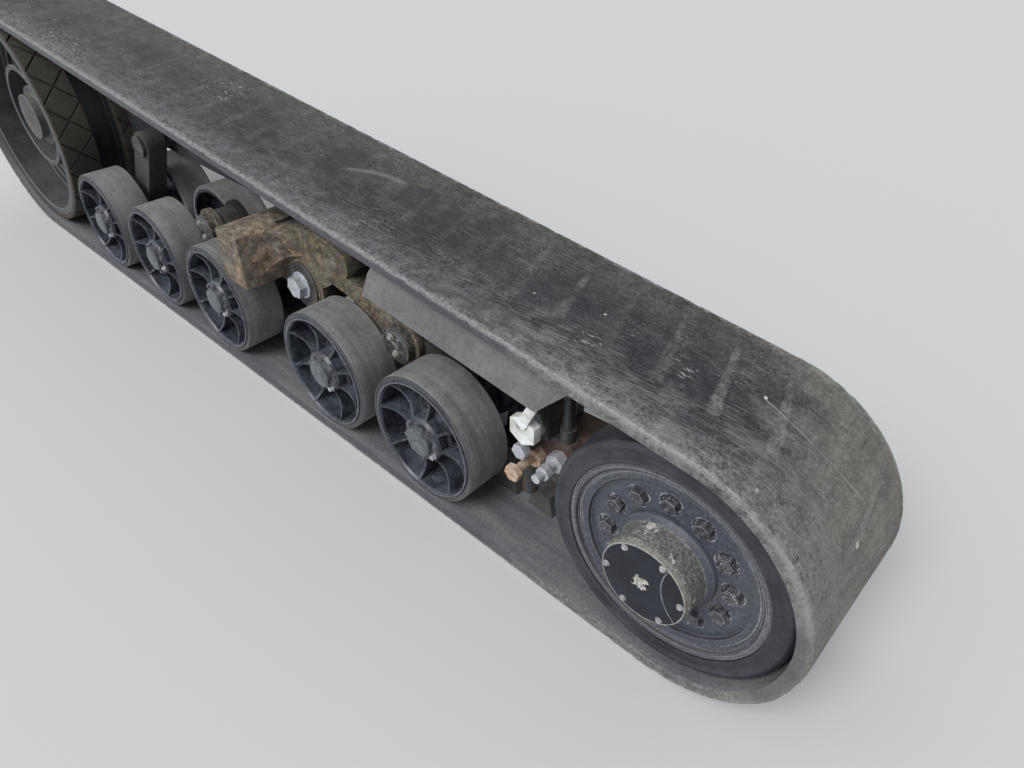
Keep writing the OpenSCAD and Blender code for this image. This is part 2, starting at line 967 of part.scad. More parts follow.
module final_drive_housing() {
  color([0.18, 0.18, 0.18])
  difference() {
    union() {
      slab(-60, 0)
      disc2(drive_x, drive_z, spigot_r);
      slab(0, mount_y - mount_plate)
      disc2(drive_x, drive_z, final_drive_r);
      slab(mount_y - mount_plate, mount_y)
      disc2(drive_x, drive_z, final_flange_r);
    }
    for (i = [0 : final_flange_bolts - 1])
      slab(mount_y - mount_plate - 1, mount_y + 1)
      disc2(
        drive_x + final_flange_pcd / 2 * cos(15 + i * 360 / final_flange_bolts),
        drive_z + final_flange_pcd / 2 * sin(15 + i * 360 / final_flange_bolts),
        mount_hole_r
      );
  }
}

belt();
belt_guide_lugs();
front_wheel_tyres();
front_rim(-1);  // front_wheel_outer_rim
front_rim(1);  // front_wheel_inner_rim
front_wheel_hub();
front_hub_cover();
front_wheel_bolts();
drive_wheel_lagging();
drive_wheel_rim();
drive_wheel_hub();
roller_tyres(0);  // roller_1_tyres
roller_wheels(0);  // roller_1_wheels
roller_axle(0);  // roller_1_axle
roller_tyres(1);  // roller_2_tyres
roller_wheels(1);  // roller_2_wheels
roller_axle(1);  // roller_2_axle
roller_tyres(2);  // roller_3_tyres
roller_wheels(2);  // roller_3_wheels
roller_axle(2);  // roller_3_axle
roller_tyres(3);  // roller_4_tyres
roller_wheels(3);  // roller_4_wheels
roller_axle(3);  // roller_4_axle
roller_tyres(4);  // roller_5_tyres
roller_wheels(4);  // roller_5_wheels
roller_axle(4);  // roller_5_axle
bogie_beam(roller_x[0], roller_x[1], front_bogie_x);  // front_bogie_beam
bogie_pin(front_bogie_x);  // front_bogie_pin
bogie_beam(roller_x[2], roller_x[3], rear_bogie_x);  // rear_bogie_beam
bogie_pin(rear_bogie_x);  // rear_bogie_pin
trailing_roller_arm();
trailing_arm_pin();
yoke_casting();
cross_beam();
main_pivot_shaft();
main_pivot_bolt();
idler_arm();
tension_cylinder();
tensioner_block();
tensioner_bolts();
adjuster_bolt();
tension_feed_pipe();
grease_valve_cap();
belt_guard();
track_frame();
final_drive_housing();
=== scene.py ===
"""Looks of a rubber-belt track undercarriage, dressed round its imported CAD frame."""

import json
import math

import bmesh
import bpy
from mathutils import Matrix, Vector, noise


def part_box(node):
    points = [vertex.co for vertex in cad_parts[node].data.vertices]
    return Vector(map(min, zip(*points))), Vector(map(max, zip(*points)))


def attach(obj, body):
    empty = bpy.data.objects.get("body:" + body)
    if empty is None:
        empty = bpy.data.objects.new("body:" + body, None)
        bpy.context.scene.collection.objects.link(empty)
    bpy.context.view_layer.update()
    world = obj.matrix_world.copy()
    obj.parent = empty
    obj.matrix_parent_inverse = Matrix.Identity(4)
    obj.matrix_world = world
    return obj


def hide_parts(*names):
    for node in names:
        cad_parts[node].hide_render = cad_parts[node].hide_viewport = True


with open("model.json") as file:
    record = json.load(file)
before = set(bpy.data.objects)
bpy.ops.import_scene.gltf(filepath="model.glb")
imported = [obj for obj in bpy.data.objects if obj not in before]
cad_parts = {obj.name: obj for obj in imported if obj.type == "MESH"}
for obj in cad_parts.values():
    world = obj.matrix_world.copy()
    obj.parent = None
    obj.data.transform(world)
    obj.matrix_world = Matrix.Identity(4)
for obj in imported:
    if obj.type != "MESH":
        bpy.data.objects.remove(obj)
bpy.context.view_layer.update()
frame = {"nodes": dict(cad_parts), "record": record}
cad_nodes = frame["nodes"]
body_of = {n: b for b, names in frame["record"]["behaviour"]["bodies"].items() for n in names}
slot_of = {part["node"]: part["material_slot"] for part in frame["record"]["subparts"]}


def middle(node):
    """Middle of a CAD node's box."""
    lo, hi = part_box(node)
    return (lo + hi) / 2


FRONT = middle("front_wheel_tyres")
DRIVE = middle("drive_wheel_lagging")
ROLLERS = [middle(f"roller_{n}_tyres") for n in range(1, 6)]
ROLLER_SPIN = [math.radians(a) for a in (171, 153, 160, 178, 146)]
BELT_HALF = 0.19
BELT_THICK = 0.03
FRONT_WRAP = FRONT.z
DRIVE_WRAP = DRIVE.z
RUN_TURN = 2 * math.atan((FRONT_WRAP - DRIVE_WRAP) / (FRONT.x - DRIVE.x))


# Camera

CAMERA_PLACE = (1.9365, -0.9865, 1.3885)
CAMERA_RIGHT = (0.73498712, 0.67807634, 0.00253246)
CAMERA_UP = (-0.41992676, 0.45223237, 0.7868592)
CAMERA_BACK = (0.53240535, -0.57939482, 0.61712737)


def make_camera():
    data = bpy.data.cameras.new("view_of_the_track")
    data.sensor_width = 36.0
    data.lens = 25.8
    data.clip_start = 0.05
    data.clip_end = 60.0
    camera = bpy.data.objects.new("view_of_the_track", data)
    axes = Matrix((CAMERA_RIGHT, CAMERA_UP, CAMERA_BACK)).transposed()
    camera.matrix_world = Matrix.Translation(CAMERA_PLACE) @ axes.to_4x4()
    bpy.context.scene.collection.objects.link(camera)
    bpy.context.scene.camera = camera


make_camera()


# Shader plans


def operator(kind, swapped=False):
    """Arithmetic on a signal, which adds one Math node to its plan."""
    def added(signal, other):
        first, second = (other, signal) if swapped else (signal, other)
        return signal.plan.math(kind, first, second)
    return added


class Signal:
    """One output in a plan of nodes; sums, products and blends of it add nodes to that plan."""

    def __init__(self, plan, socket):
        self.plan = plan
        self.socket = socket

    __add__ = operator("ADD")
    __sub__ = operator("SUBTRACT")
    __rsub__ = operator("SUBTRACT", swapped=True)
    __mul__ = operator("MULTIPLY")
    __truediv__ = operator("DIVIDE")

    def __abs__(self):
        return self.plan.math("ABSOLUTE", self)

    def step(self, low, high, to_low=0.0, to_high=1.0):
        """Eases from one value to the other while the signal goes from low to high."""
        feeds = {"Value": self, "From Min": low, "From Max": high, "To Min": to_low, "To Max": to_high}
        return self.plan.take("ShaderNodeMapRange", feeds, interpolation_type="SMOOTHSTEP")

    def coat(self, mask, colour):
        """This colour, covered by another where the mask is 1."""
        return self.plan.mix(mask, self, colour)

    def shade(self, tone):
        """This colour, made darker or lighter by a tone."""
        return self.plan.mix(1.0, self, tone, "MULTIPLY")


class Plan:
    """Adds nodes to one node tree and joins them."""

    def __init__(self, tree):
        self.tree = tree

    def feed(self, target, value):
        """Joins a signal to a socket, or sets the socket; a colour may leave out its alpha."""
        if isinstance(value, Signal):
            self.tree.links.new(value.socket, target)
        elif target.type == "RGBA" and len(value) == 3:
            target.default_value = (*value, 1)
        else:
            target.default_value = value

    def add(self, kind, feeds=None, **settings):
        """A new node with its settings, its inputs fed by name or number."""
        node = self.tree.nodes.new(kind)
        for key, value in settings.items():
            setattr(node, key, value)
        for socket, value in (feeds or {}).items():
            self.feed(node.inputs[socket], value)
        return node

    def take(self, kind, feeds=None, output=0, **settings):
        """The signal from one output of a new node."""
        return Signal(self, self.add(kind, feeds, **settings).outputs[output])

    def named(self, kind, feeds=None, **settings):
        """All signals from a new node, by their names."""
        return {socket.name: Signal(self, socket) for socket in self.add(kind, feeds, **settings).outputs}

    def use(self, group, feeds):
        return self.named("ShaderNodeGroup", feeds, node_tree=group)

    def math(self, operation, a, b=0.0, clamp=False):
        return self.take("ShaderNodeMath", {0: a, 1: b}, operation=operation, use_clamp=clamp)

    def noise(self, vector, scale, detail, rough):
        feeds = {"Vector": vector, "Scale": scale, "Detail": detail, "Roughness": rough}
        return self.take("ShaderNodeTexNoise", feeds, "Fac")

    def mix(self, factor, a, b, blend="MIX"):
        return self.take("ShaderNodeMix", {0: factor, 6: a, 7: b}, 2, data_type="RGBA", blend_type=blend)

    def mapping(self, vector, scale=(1, 1, 1), turn=0.0, shift=(0, 0, 0)):
        """A vector stretched by scale, turned about Z and shifted."""
        feeds = {"Vector": vector, "Scale": scale, "Rotation": (0, 0, turn), "Location": shift}
        return self.take("ShaderNodeMapping", feeds)

    def place(self):
        return self.take("ShaderNodeTexCoord", output="Object")

    def parts(self, vector):
        """X, Y and Z of a vector."""
        return list(self.named("ShaderNodeSeparateXYZ", {0: vector}).values())

    def vector(self, x=0.0, y=0.0, z=0.0):
        return self.take("ShaderNodeCombineXYZ", {0: x, 1: y, 2: z})

    def reach(self, side, rise):
        """Distance from a centre, from its two parts at right angles."""
        return self.math("SQRT", side * side + rise * rise)

    def spot(self, u, v, at, size, wobble):
        """Mask of a ragged spot at a place of a surface map."""
        away = self.reach(u - at[0], v - at[1]) + (wobble - 0.5) * (size * 1.6)
        return away.step(size, size * 0.7)


FLOAT, COLOUR, VECTOR = "NodeSocketFloat", "NodeSocketColor", "NodeSocketVector"


def label_sockets(tree, inputs, outputs):
    """Gives a node tree its named inputs and outputs, each with its kind."""
    for side, labels in (("INPUT", inputs), ("OUTPUT", outputs)):
        for label, kind in labels.items():
            tree.interface.new_socket(name=label, in_out=side, socket_type=kind)


def effect(name, inputs, outputs):
    """A new shader node group; returns (group, plan, signals of its inputs, sockets of its outputs)."""
    group = bpy.data.node_groups.new(name, "ShaderNodeTree")
    label_sockets(group, inputs, outputs)
    plan = Plan(group)
    return group, plan, plan.named("NodeGroupInput"), plan.add("NodeGroupOutput").inputs


def make_dust():
    """Fine dust that lies in clouds and gathers on faces that look up."""
    inputs = {"Color": COLOUR, "Dust": COLOUR, "Amount": FLOAT, "Scale": FLOAT, "Up": FLOAT}
    group, plan, source, sink = effect("settled_dust", inputs, {"Color": COLOUR, "Mask": FLOAT})
    place = plan.place()
    broad = plan.noise(place, source["Scale"], 7.0, 0.62)
    fine = plan.noise(place, source["Scale"] * 14.0, 3.0, 0.7)
    cloud = (broad * 0.7 + fine * 0.3).step(0.36, 0.64)
    normal = plan.take("ShaderNodeNewGeometry", output="Normal")
    up = plan.math("MAXIMUM", plan.parts(normal)[2], 0.0)
    lying = up * source["Up"] * (fine + 0.4)
    mask = plan.math("ADD", source["Amount"] * (cloud * 0.8 + 0.2), lying, clamp=True)
    plan.feed(sink["Color"], source["Color"].coat(mask, source["Dust"]))
    plan.feed(sink["Mask"], mask)
    return group


def make_rust():
    """Rust that breaks through a coat in flakes, dark at its heart."""
    inputs = {"Color": COLOUR, "Light Rust": COLOUR, "Dark Rust": COLOUR, "Amount": FLOAT, "Scale": FLOAT}
    outputs = {"Color": COLOUR, "Mask": FLOAT, "Height": FLOAT}
    group, plan, source, sink = effect("breaking_rust", inputs, outputs)
    place = plan.place()
    broad = plan.noise(place, source["Scale"], 9.0, 0.66)
    grain = plan.noise(place, source["Scale"] * 9.0, 5.0, 0.7)
    edge = 0.68 - source["Amount"] * 0.36
    mask = (broad * 0.78 + grain * 0.22).step(edge - 0.05, edge + 0.05)
    shade = plan.noise(place, source["Scale"] * 3.0, 6.0, 0.6).step(0.35, 0.65)
    rust = source["Dark Rust"].coat(shade, source["Light Rust"])
    plan.feed(sink["Color"], source["Color"].coat(mask, rust))
    plan.feed(sink["Mask"], mask)
    plan.feed(sink["Height"], mask * 0.5 + grain * 0.5)
    return group


def make_scuffs():
    """Thin scratches that run one way over a surface."""
    inputs = {"Vector": VECTOR, "Density": FLOAT, "Share": FLOAT}
    group, plan, source, sink = effect("long_scuffs", inputs, {"Mask": FLOAT})
    total = None
    for turn, stretch in ((0.5, 26.0), (-0.35, 34.0), (1.25, 20.0)):
        vector = plan.mapping(source["Vector"], (1.0, stretch, 1.0), turn, (turn * 3.1, 0.7, turn))
        lines = plan.noise(vector, source["Density"], 2.0, 0.5)
        where = plan.noise(source["Vector"], source["Density"] * 0.9, 2.0, 0.5)
        low = 0.74 - source["Share"] * 0.2
        part = (lines * 0.7 + where * 0.3).step(low, low + 0.05)
        total = part if total is None else plan.math("MAXIMUM", total, part)
    plan.feed(sink["Mask"], total)
    return group


def make_flecks():
    """Small flecks and grit, thick in some clouds and thin in others."""
    inputs = {"Vector": VECTOR, "Scale": FLOAT, "Share": FLOAT}
    group, plan, source, sink = effect("grit_flecks", inputs, {"Mask": FLOAT, "Mottle": FLOAT})
    mottle = plan.noise(source["Vector"], source["Scale"], 4.0, 0.75)
    grit = plan.noise(source["Vector"], source["Scale"] * 3.1, 2.0, 0.6)
    cloud = plan.noise(source["Vector"], source["Scale"] * 0.07, 3.0, 0.55)
    value = mottle * 0.45 + grit * 0.55 + (cloud - 0.5) * 0.3
    low = 0.7 - source["Share"] * 0.2
    plan.feed(sink["Mask"], value.step(low, low + 0.06))
    plan.feed(sink["Mottle"], mottle)
    return group


def make_rings():
    """Distance from an axle along Y, and fine wear that runs round it."""
    inputs = {"Axle X": FLOAT, "Axle Z": FLOAT, "Fineness": FLOAT}
    group, plan, source, sink = effect("wear_round_an_axle", inputs, {"Radius": FLOAT, "Rings": FLOAT})
    place = plan.place()
    x, y, z = plan.parts(place)
    radius = plan.reach(x - source["Axle X"], z - source["Axle Z"])
    lines = plan.vector(radius * source["Fineness"], y * (source["Fineness"] * 0.6))
    around = plan.take("ShaderNodeVectorMath", {0: place, 1: (5.0, 0.0, 5.0)}, operation="MULTIPLY")
    wear = plan.noise(plan.take("ShaderNodeVectorMath", {0: lines, 1: around}), 1.0, 4.0, 0.6)
    plan.feed(sink["Radius"], radius)
    plan.feed(sink["Rings"], wear)
    return group


settled_dust = make_dust()
breaking_rust = make_rust()
long_scuffs = make_scuffs()
grit_flecks = make_flecks()
wear_round_an_axle = make_rings()


# Finishes


class Finish(Plan):
    """The plan of a new material, round its Principled shader."""

    def __init__(self, name):
        self.made = bpy.data.materials.new(name)
        self.made.use_nodes = True
        super().__init__(self.made.node_tree)
        self.shader = self.tree.nodes["Principled BSDF"].inputs

    def flecks(self, vector, scale, share):
        """Mask and mottle of small flecks."""
        out = self.use(grit_flecks, {"Vector": vector, "Scale": scale, "Share": share})
        return out["Mask"], out["Mottle"]

    def scuffs(self, vector, density, share):
        return self.use(long_scuffs, {"Vector": vector, "Density": density, "Share": share})["Mask"]

    def rings(self, x, z, fineness):
        """Distance from an axle at X and Z, and the wear round it."""
        out = self.use(wear_round_an_axle, {"Axle X": x, "Axle Z": z, "Fineness": fineness})
        return out["Radius"], out["Rings"]

    def dusted(self, colour, dust, amount, scale, up):
        """A colour under settled dust, and the mask of the dust."""
        feeds = {"Color": colour, "Dust": dust, "Amount": amount, "Scale": scale, "Up": up}
        out = self.use(settled_dust, feeds)
        return out["Color"], out["Mask"]

    def dress(self, colour, rough, height, strength, distance):
        """Gives the shader its colour, roughness and fine bump; returns the material."""
        bumped = self.take("ShaderNodeBump", {"Strength": strength, "Distance": distance, "Height": height})
        for label, value in (("Base Color", colour), ("Roughness", rough), ("Normal", bumped)):
            self.feed(self.shader[label], value)
        return self.made


PAINTED_SHADE_DEPTH = -0.058


def finish_of(name, colour, dust, dusting, gloss, grain, rusting=None, metallic=0.0, bump=0.002,
              flecks=(0.0, 0.3), wear=None, inside=0.0, contrast=0.12, bands=0.0):
    """A solid finish under rust, flecks and dust.

    dusting is the amount of dust, its amount on faces that look up, and its scale; gloss is the roughness
    of the clean and of the dusty surface; grain is the fine bump's scale and strength; rusting is the two
    colours of rust, its amount and its scale; flecks are their share and brightness; wear is an axle and
    the colour worn round it; inside is how dark the painted shade gets behind the near row of rollers,
    where the machine shades the inboard side; contrast is how far the tone drifts from place to place;
    bands is how much it changes across a roller's width."""
    plan = Finish(name)
    place = plan.place()
    amount, upward, scale = dusting
    grit, mottle = plan.flecks(place, grain[0], flecks[0])
    tone = plan.noise(place, scale * 0.5, 5.0, 0.6).step(0.3, 0.7, 0.8, 1.15)
    shown = plan.mix(1.0, colour, tone * mottle.step(0.25, 0.75, 0.72, 1.3), "MULTIPLY")
    height = mottle
    if wear:
        axle, worn = wear
        rings = plan.rings(axle.x, axle.z, 260.0)[1]
        shown = shown.coat(rings.step(0.55, 0.75, 0.0, 0.75), worn)
    if rusting:
        (light, dark), share, size = rusting
        rusted = plan.use(breaking_rust, {"Color": shown, "Light Rust": light, "Dark Rust": dark,
                                          "Amount": share, "Scale": size})
        shown = rusted["Color"]
        height = rusted["Height"] * 0.8 + mottle * 0.4
    if flecks[0]:
        shown = shown.coat(grit * 0.8, (flecks[1], flecks[1], flecks[1] * 0.96))
    shown, cover = plan.dusted(shown, dust, amount, scale, upward)
    shown = shown.shade(plan.noise(place, 420.0, 2.0, 0.7).step(0.3, 0.7, 0.8, 1.22))
    drift = plan.noise(place, scale * 2.2, 5.0, 0.68)
    shown = shown.shade(drift.step(0.36, 0.64, 1.0 - contrast, 1.0 + contrast))
    if bands:
        band = plan.noise(plan.mapping(place, (1.4, 42.0, 1.4)), 1.0, 4.0, 0.6)
        shown = shown.shade(band.step(0.32, 0.68, 1.0 - bands, 1.0 + bands))
    # Painted shade: darker towards the inboard side, behind the near row of rollers.
    if inside:
        shown = shown.shade(plan.parts(place)[1].step(PAINTED_SHADE_DEPTH, 0.0, 1.0, 1.0 - inside))
    rough = cover.step(0.0, 1.0, *gloss)
    if rusting:
        rough = plan.math("MAXIMUM", rough, rusted["Mask"] * 0.9)
        cover = plan.math("MAXIMUM", rusted["Mask"], cover)
    if metallic:
        plan.feed(plan.shader["Metallic"], (1.0 - cover) * metallic)
    return plan.dress(shown, rough, height, grain[1], bump)


DUST_GREY = (0.2, 0.195, 0.175)
DUST_TAN = (0.225, 0.2, 0.155)
RUST = ((0.19, 0.115, 0.062), (0.07, 0.045, 0.03))
RED_RUST = ((0.23, 0.095, 0.05), (0.085, 0.035, 0.022))

roller_rubber = finish_of(
    "dusty_roller_rubber", (0.134, 0.14, 0.142), (0.24, 0.24, 0.23), (0.6, 0.3, 5.0), (0.7, 0.92),
    (160.0, 0.3), flecks=(0.12, 0.27), contrast=0.14, bands=0.17)
roller_side = finish_of(
    "dark_roller_rubber_side", (0.036, 0.039, 0.049), (0.15, 0.148, 0.14), (0.45, 0.3, 9.0), (0.5, 0.88),
    (130.0, 0.3), flecks=(0.3, 0.2))
wheel_rubber = finish_of(
    "dark_wheel_rubber", (0.015, 0.018, 0.028), (0.098, 0.101, 0.108), (0.26, 0.15, 7.0), (0.45, 0.9),
    (150.0, 0.4), flecks=(0.3, 0.2), wear=(FRONT, (0.066, 0.069, 0.08)), contrast=0.28)
drive_rubber = finish_of(
    "dark_drive_rubber", (0.035, 0.032, 0.026), (0.085, 0.074, 0.055), (0.4, 0.3, 5.0), (0.7, 0.92),
    (120.0, 0.3))
# Floor of the lagging's grooves: dark rubber, painted darker still as the shade in the deep narrow grooves.
shaded_groove_floor = finish_of(
    "painted_shade_groove_floor", (0.01, 0.01, 0.009), (0.03, 0.027, 0.022), (0.3, 0.1, 6.0), (0.7, 0.95),
    (120.0, 0.2))
# The guide lugs: dark rubber, kept darker still as painted shade where they sit under the tensioner.
lug_rubber = finish_of(
    "belt_lug_rubber", (0.055, 0.055, 0.056), (0.14, 0.132, 0.115), (0.45, 0.35, 5.0), (0.7, 0.9),
    (150.0, 0.2))
dark_paint = finish_of(
    "dark_blue_black_paint", (0.028, 0.031, 0.041), (0.13, 0.127, 0.118), (0.28, 0.3, 7.0), (0.4, 0.85),
    (90.0, 0.15), (RUST, 0.06, 9.0), flecks=(0.1, 0.2))
roller_paint = finish_of(
    "dark_roller_paint", (0.012, 0.015, 0.026), (0.136, 0.152, 0.182), (0.28, 0.24, 11.0), (0.22, 0.8),
    (110.0, 0.3), (RUST, 0.02, 9.0), flecks=(0.5, 0.36), contrast=0.45)
roller_cap_paint = finish_of(
    "grey_roller_cap", (0.062, 0.07, 0.09), (0.2, 0.21, 0.22), (0.4, 0.2, 30.0), (0.25, 0.7), (130.0, 0.3),
    flecks=(0.4, 0.32), contrast=0.3)
# The front wheel's bolts: dark paint whose bright flecks are partly grit and partly painted glints.
bolt_paint = finish_of(
    "dark_bolt_paint", (0.016, 0.019, 0.028), (0.19, 0.195, 0.2), (0.34, 0.16, 40.0), (0.2, 0.75),
    (140.0, 0.3), flecks=(0.6, 0.8), contrast=0.5)
rusty_edge = finish_of(
    "rust_brown_edge", (0.13, 0.095, 0.065), DUST_TAN, (0.3, 0.3, 14.0), (0.6, 0.92), (80.0, 0.4),
    (RUST, 0.5, 14.0), inside=0.6)
rib_edge = finish_of(
    "bright_rib_edge", (0.17, 0.18, 0.2), (0.3, 0.31, 0.32), (0.5, 0.2, 26.0), (0.4, 0.8), (120.0, 0.1))
worn_edge = finish_of(
    "dusty_worn_edge", (0.15, 0.155, 0.165), (0.25, 0.25, 0.245), (0.4, 0.2, 18.0), (0.5, 0.85),
    (90.0, 0.1))
dull_edge = finish_of(
    "dull_worn_edge", (0.075, 0.08, 0.095), (0.17, 0.17, 0.165), (0.4, 0.2, 22.0), (0.45, 0.85),
    (90.0, 0.1))
tan_edge = finish_of(
    "tan_worn_edge", (0.24, 0.19, 0.125), (0.33, 0.29, 0.21), (0.4, 0.3, 18.0), (0.6, 0.9), (90.0, 0.4),
    (RUST, 0.3, 14.0), flecks=(0.3, 0.4), inside=0.7)
casting = finish_of(
    "dark_casting", (0.045, 0.047, 0.052), DUST_GREY, (0.4, 0.45, 8.0), (0.6, 0.9), (70.0, 0.35),
    (RUST, 0.22, 9.0), bump=0.003, flecks=(0.2, 0.25), inside=0.6)
block_iron = finish_of(
    "greasy_block", (0.026, 0.027, 0.031), DUST_GREY, (0.22, 0.3, 14.0), (0.45, 0.9), (90.0, 0.4),
    (((0.19, 0.075, 0.045), (0.06, 0.028, 0.02)), 0.38, 11.0), bump=0.003, flecks=(0.3, 0.3), inside=0.7)
pin_casting = finish_of(
    "dirt_brown_casting", (0.022, 0.025, 0.031), (0.19, 0.162, 0.118), (0.29, 0.4, 26.0), (0.4, 0.92),
    (90.0, 0.6), (RUST, 0.12, 20.0), bump=0.004, flecks=(0.7, 0.42), inside=0.5, contrast=0.6)
yoke_iron = finish_of(
    "dusty_tan_casting", (0.043, 0.044, 0.036), (0.272, 0.248, 0.182), (0.68, 0.34, 22.0), (0.5, 0.92),
    (75.0, 0.9), (((0.265, 0.155, 0.07), (0.046, 0.036, 0.026)), 0.47, 30.0), bump=0.006,
    flecks=(0.6, 0.36), inside=0.88, contrast=0.36)
beam_iron = finish_of(
    "rusty_dark_beam", (0.05, 0.048, 0.044), (0.325, 0.28, 0.215), (0.7, 0.3, 22.0), (0.5, 0.92),
    (70.0, 0.9), (((0.3, 0.165, 0.088), (0.074, 0.05, 0.038)), 0.52, 26.0), bump=0.006, flecks=(0.6, 0.4),
    inside=0.7, contrast=0.36)
red_iron = finish_of(
    "red_rust_plate", (0.13, 0.06, 0.04), DUST_TAN, (0.25, 0.4, 7.0), (0.65, 0.92), (70.0, 0.5),
    (RED_RUST, 0.7, 9.0), bump=0.003, inside=0.5)
bolt_rust = finish_of(
    "tan_rusted_bolt", (0.5, 0.37, 0.27), (0.64, 0.53, 0.43), (0.45, 0.2, 40.0), (0.55, 0.9), (170.0, 0.6),
    (((0.66, 0.36, 0.19), (0.17, 0.09, 0.055)), 0.5, 34.0), bump=0.002, flecks=(0.5, 0.62))
dark_steel = finish_of(
    "oiled_dark_steel", (0.05, 0.052, 0.06), DUST_GREY, (0.3, 0.3, 10.0), (0.4, 0.85), (80.0, 0.2),
    (RUST, 0.22, 12.0), metallic=0.5, flecks=(0.25, 0.35))
zinc = finish_of(
    "weathered_zinc", (0.52, 0.55, 0.6), (0.3, 0.29, 0.28), (0.35, 0.15, 22.0), (0.35, 0.75), (120.0, 0.3),
    (RUST, 0.15, 24.0), metallic=0.35, bump=0.001, flecks=(0.3, 0.75))
hub_bolt = finish_of(
    "dusty_hub_bolt", (0.055, 0.06, 0.075), (0.2, 0.2, 0.2), (0.5, 0.2, 40.0), (0.35, 0.85),
    (160.0, 0.3), flecks=(0.6, 0.42))
screw_steel = finish_of(
    "bright_screw", (0.45, 0.46, 0.47), (0.34, 0.33, 0.3), (0.35, 0.1, 40.0), (0.3, 0.7), (200.0, 0.2),
    (RUST, 0.1, 30.0), metallic=0.4, bump=0.001)
dusty_screw = finish_of(
    "dust_caked_bolt", (0.2, 0.205, 0.2), (0.42, 0.41, 0.37), (0.6, 0.2, 60.0), (0.5, 0.9), (200.0, 0.3),
    flecks=(0.5, 0.4))
guard_paint = finish_of(
    "grey_guard_paint", (0.115, 0.119, 0.129), (0.19, 0.187, 0.178), (0.4, 0.2, 5.0), (0.45, 0.85),
    (90.0, 0.25), flecks=(0.25, 0.26))


def make_cap_finish():
    """The grease cap: dusty white at its front, dark and greasy where it is clamped behind."""
    plan = Finish("dusty_white_cap")
    place = plan.place()
    grit, mottle = plan.flecks(place, 90.0, 0.6)
    tone = plan.noise(place, 30.0, 5.0, 0.65).step(0.35, 0.65)
    white = plan.mix(tone, (0.5, 0.51, 0.48), (0.82, 0.85, 0.84)).coat(grit * 0.7, (0.22, 0.2, 0.16))
    edge = plan.parts(place)[1] + plan.noise(place, 60.0, 3.0, 0.6).step(0.2, 0.8, -0.005, 0.005)
    collar = white.coat(edge.step(-0.131, -0.127), (0.33, 0.35, 0.36))
    dark = plan.mix(tone, (0.03, 0.03, 0.033), (0.075, 0.065, 0.055))
    colour = collar.coat(edge.step(-0.118, -0.11), dark)
    return plan.dress(colour, tone.step(0.0, 1.0, 0.65, 0.4), mottle, 0.25, 0.001)


POCKET_TURN = math.radians(5.3)
POCKET_STEP = math.radians(30)
POCKET_CIRCLE = 0.1345
POCKET_R = 0.0215


def make_wheel_paint():
    """The front wheel's rim: a scratched dusty ring, a smooth dark step, painted shade in the bolt pockets,
    pale pocket rims of residue and painted highlight, and painted glints.
    """
    plan = Finish("front_wheel_paint")
    place = plan.place()
    radius, rings = plan.rings(FRONT.x, FRONT.z, 420.0)
    grit, mottle = plan.flecks(place, 150.0, 0.45)
    colour = plan.mix(radius.step(0.16, 0.166), (0.051, 0.059, 0.083), (0.046, 0.053, 0.075))
    ring = radius.step(0.186, 0.19) * radius.step(0.222, 0.214)
    scratched = plan.mix(rings.step(0.42, 0.66), (0.038, 0.044, 0.063), (0.2, 0.208, 0.224))
    light = colour.coat(ring, scratched).shade(mottle.step(0.28, 0.72, 0.5, 1.6))
    light = light.coat(grit * 0.7, (0.24, 0.24, 0.235))
    x, y, z = plan.parts(place)
    angle = (plan.math("ARCTAN2", z - FRONT.z, x - FRONT.x) - POCKET_TURN) / POCKET_STEP
    angle = (angle - plan.math("ROUND", angle)) * POCKET_STEP
    out_by = radius * plan.math("COSINE", angle) - POCKET_CIRCLE
    away = plan.reach(radius * plan.math("SINE", angle), out_by)
    away = away + plan.noise(place, 70.0, 3.0, 0.6).step(0.2, 0.8, -0.0022, 0.0022)
    outer = y.step(0.0, -0.05)
    # Pale rims round the bolt pockets, part residue and part painted highlight on the pocket edges.
    rim = away.step(POCKET_R - 0.003, POCKET_R - 0.001) * away.step(POCKET_R + 0.0032, POCKET_R + 0.0012)
    rim = rim * plan.noise(place, 34.0, 3.0, 0.6).step(0.34, 0.46, 0.3, 1.0)
    light = light.coat(rim * outer, (0.56, 0.57, 0.58))
    # Painted shade deep in the bolt pockets.
    pocket_shade = away.step(POCKET_R - 0.001, POCKET_R - 0.004, 0.0, 0.75) * outer
    light = light.coat(pocket_shade, (0.014, 0.016, 0.021))
    glint = plan.noise(place, 230.0, 2.0, 0.6).step(0.63, 0.66) * outer
    light = light.coat(glint * away.step(POCKET_R + 0.004, POCKET_R), (0.78, 0.79, 0.8))
    shown, dust = plan.dusted(light, (0.14, 0.135, 0.12), 0.22, 9.0, 0.35)
    return plan.dress(shown, (dust + ring * 0.3).step(0.0, 1.0, 0.38, 0.85), mottle + rings, 0.3, 0.002)


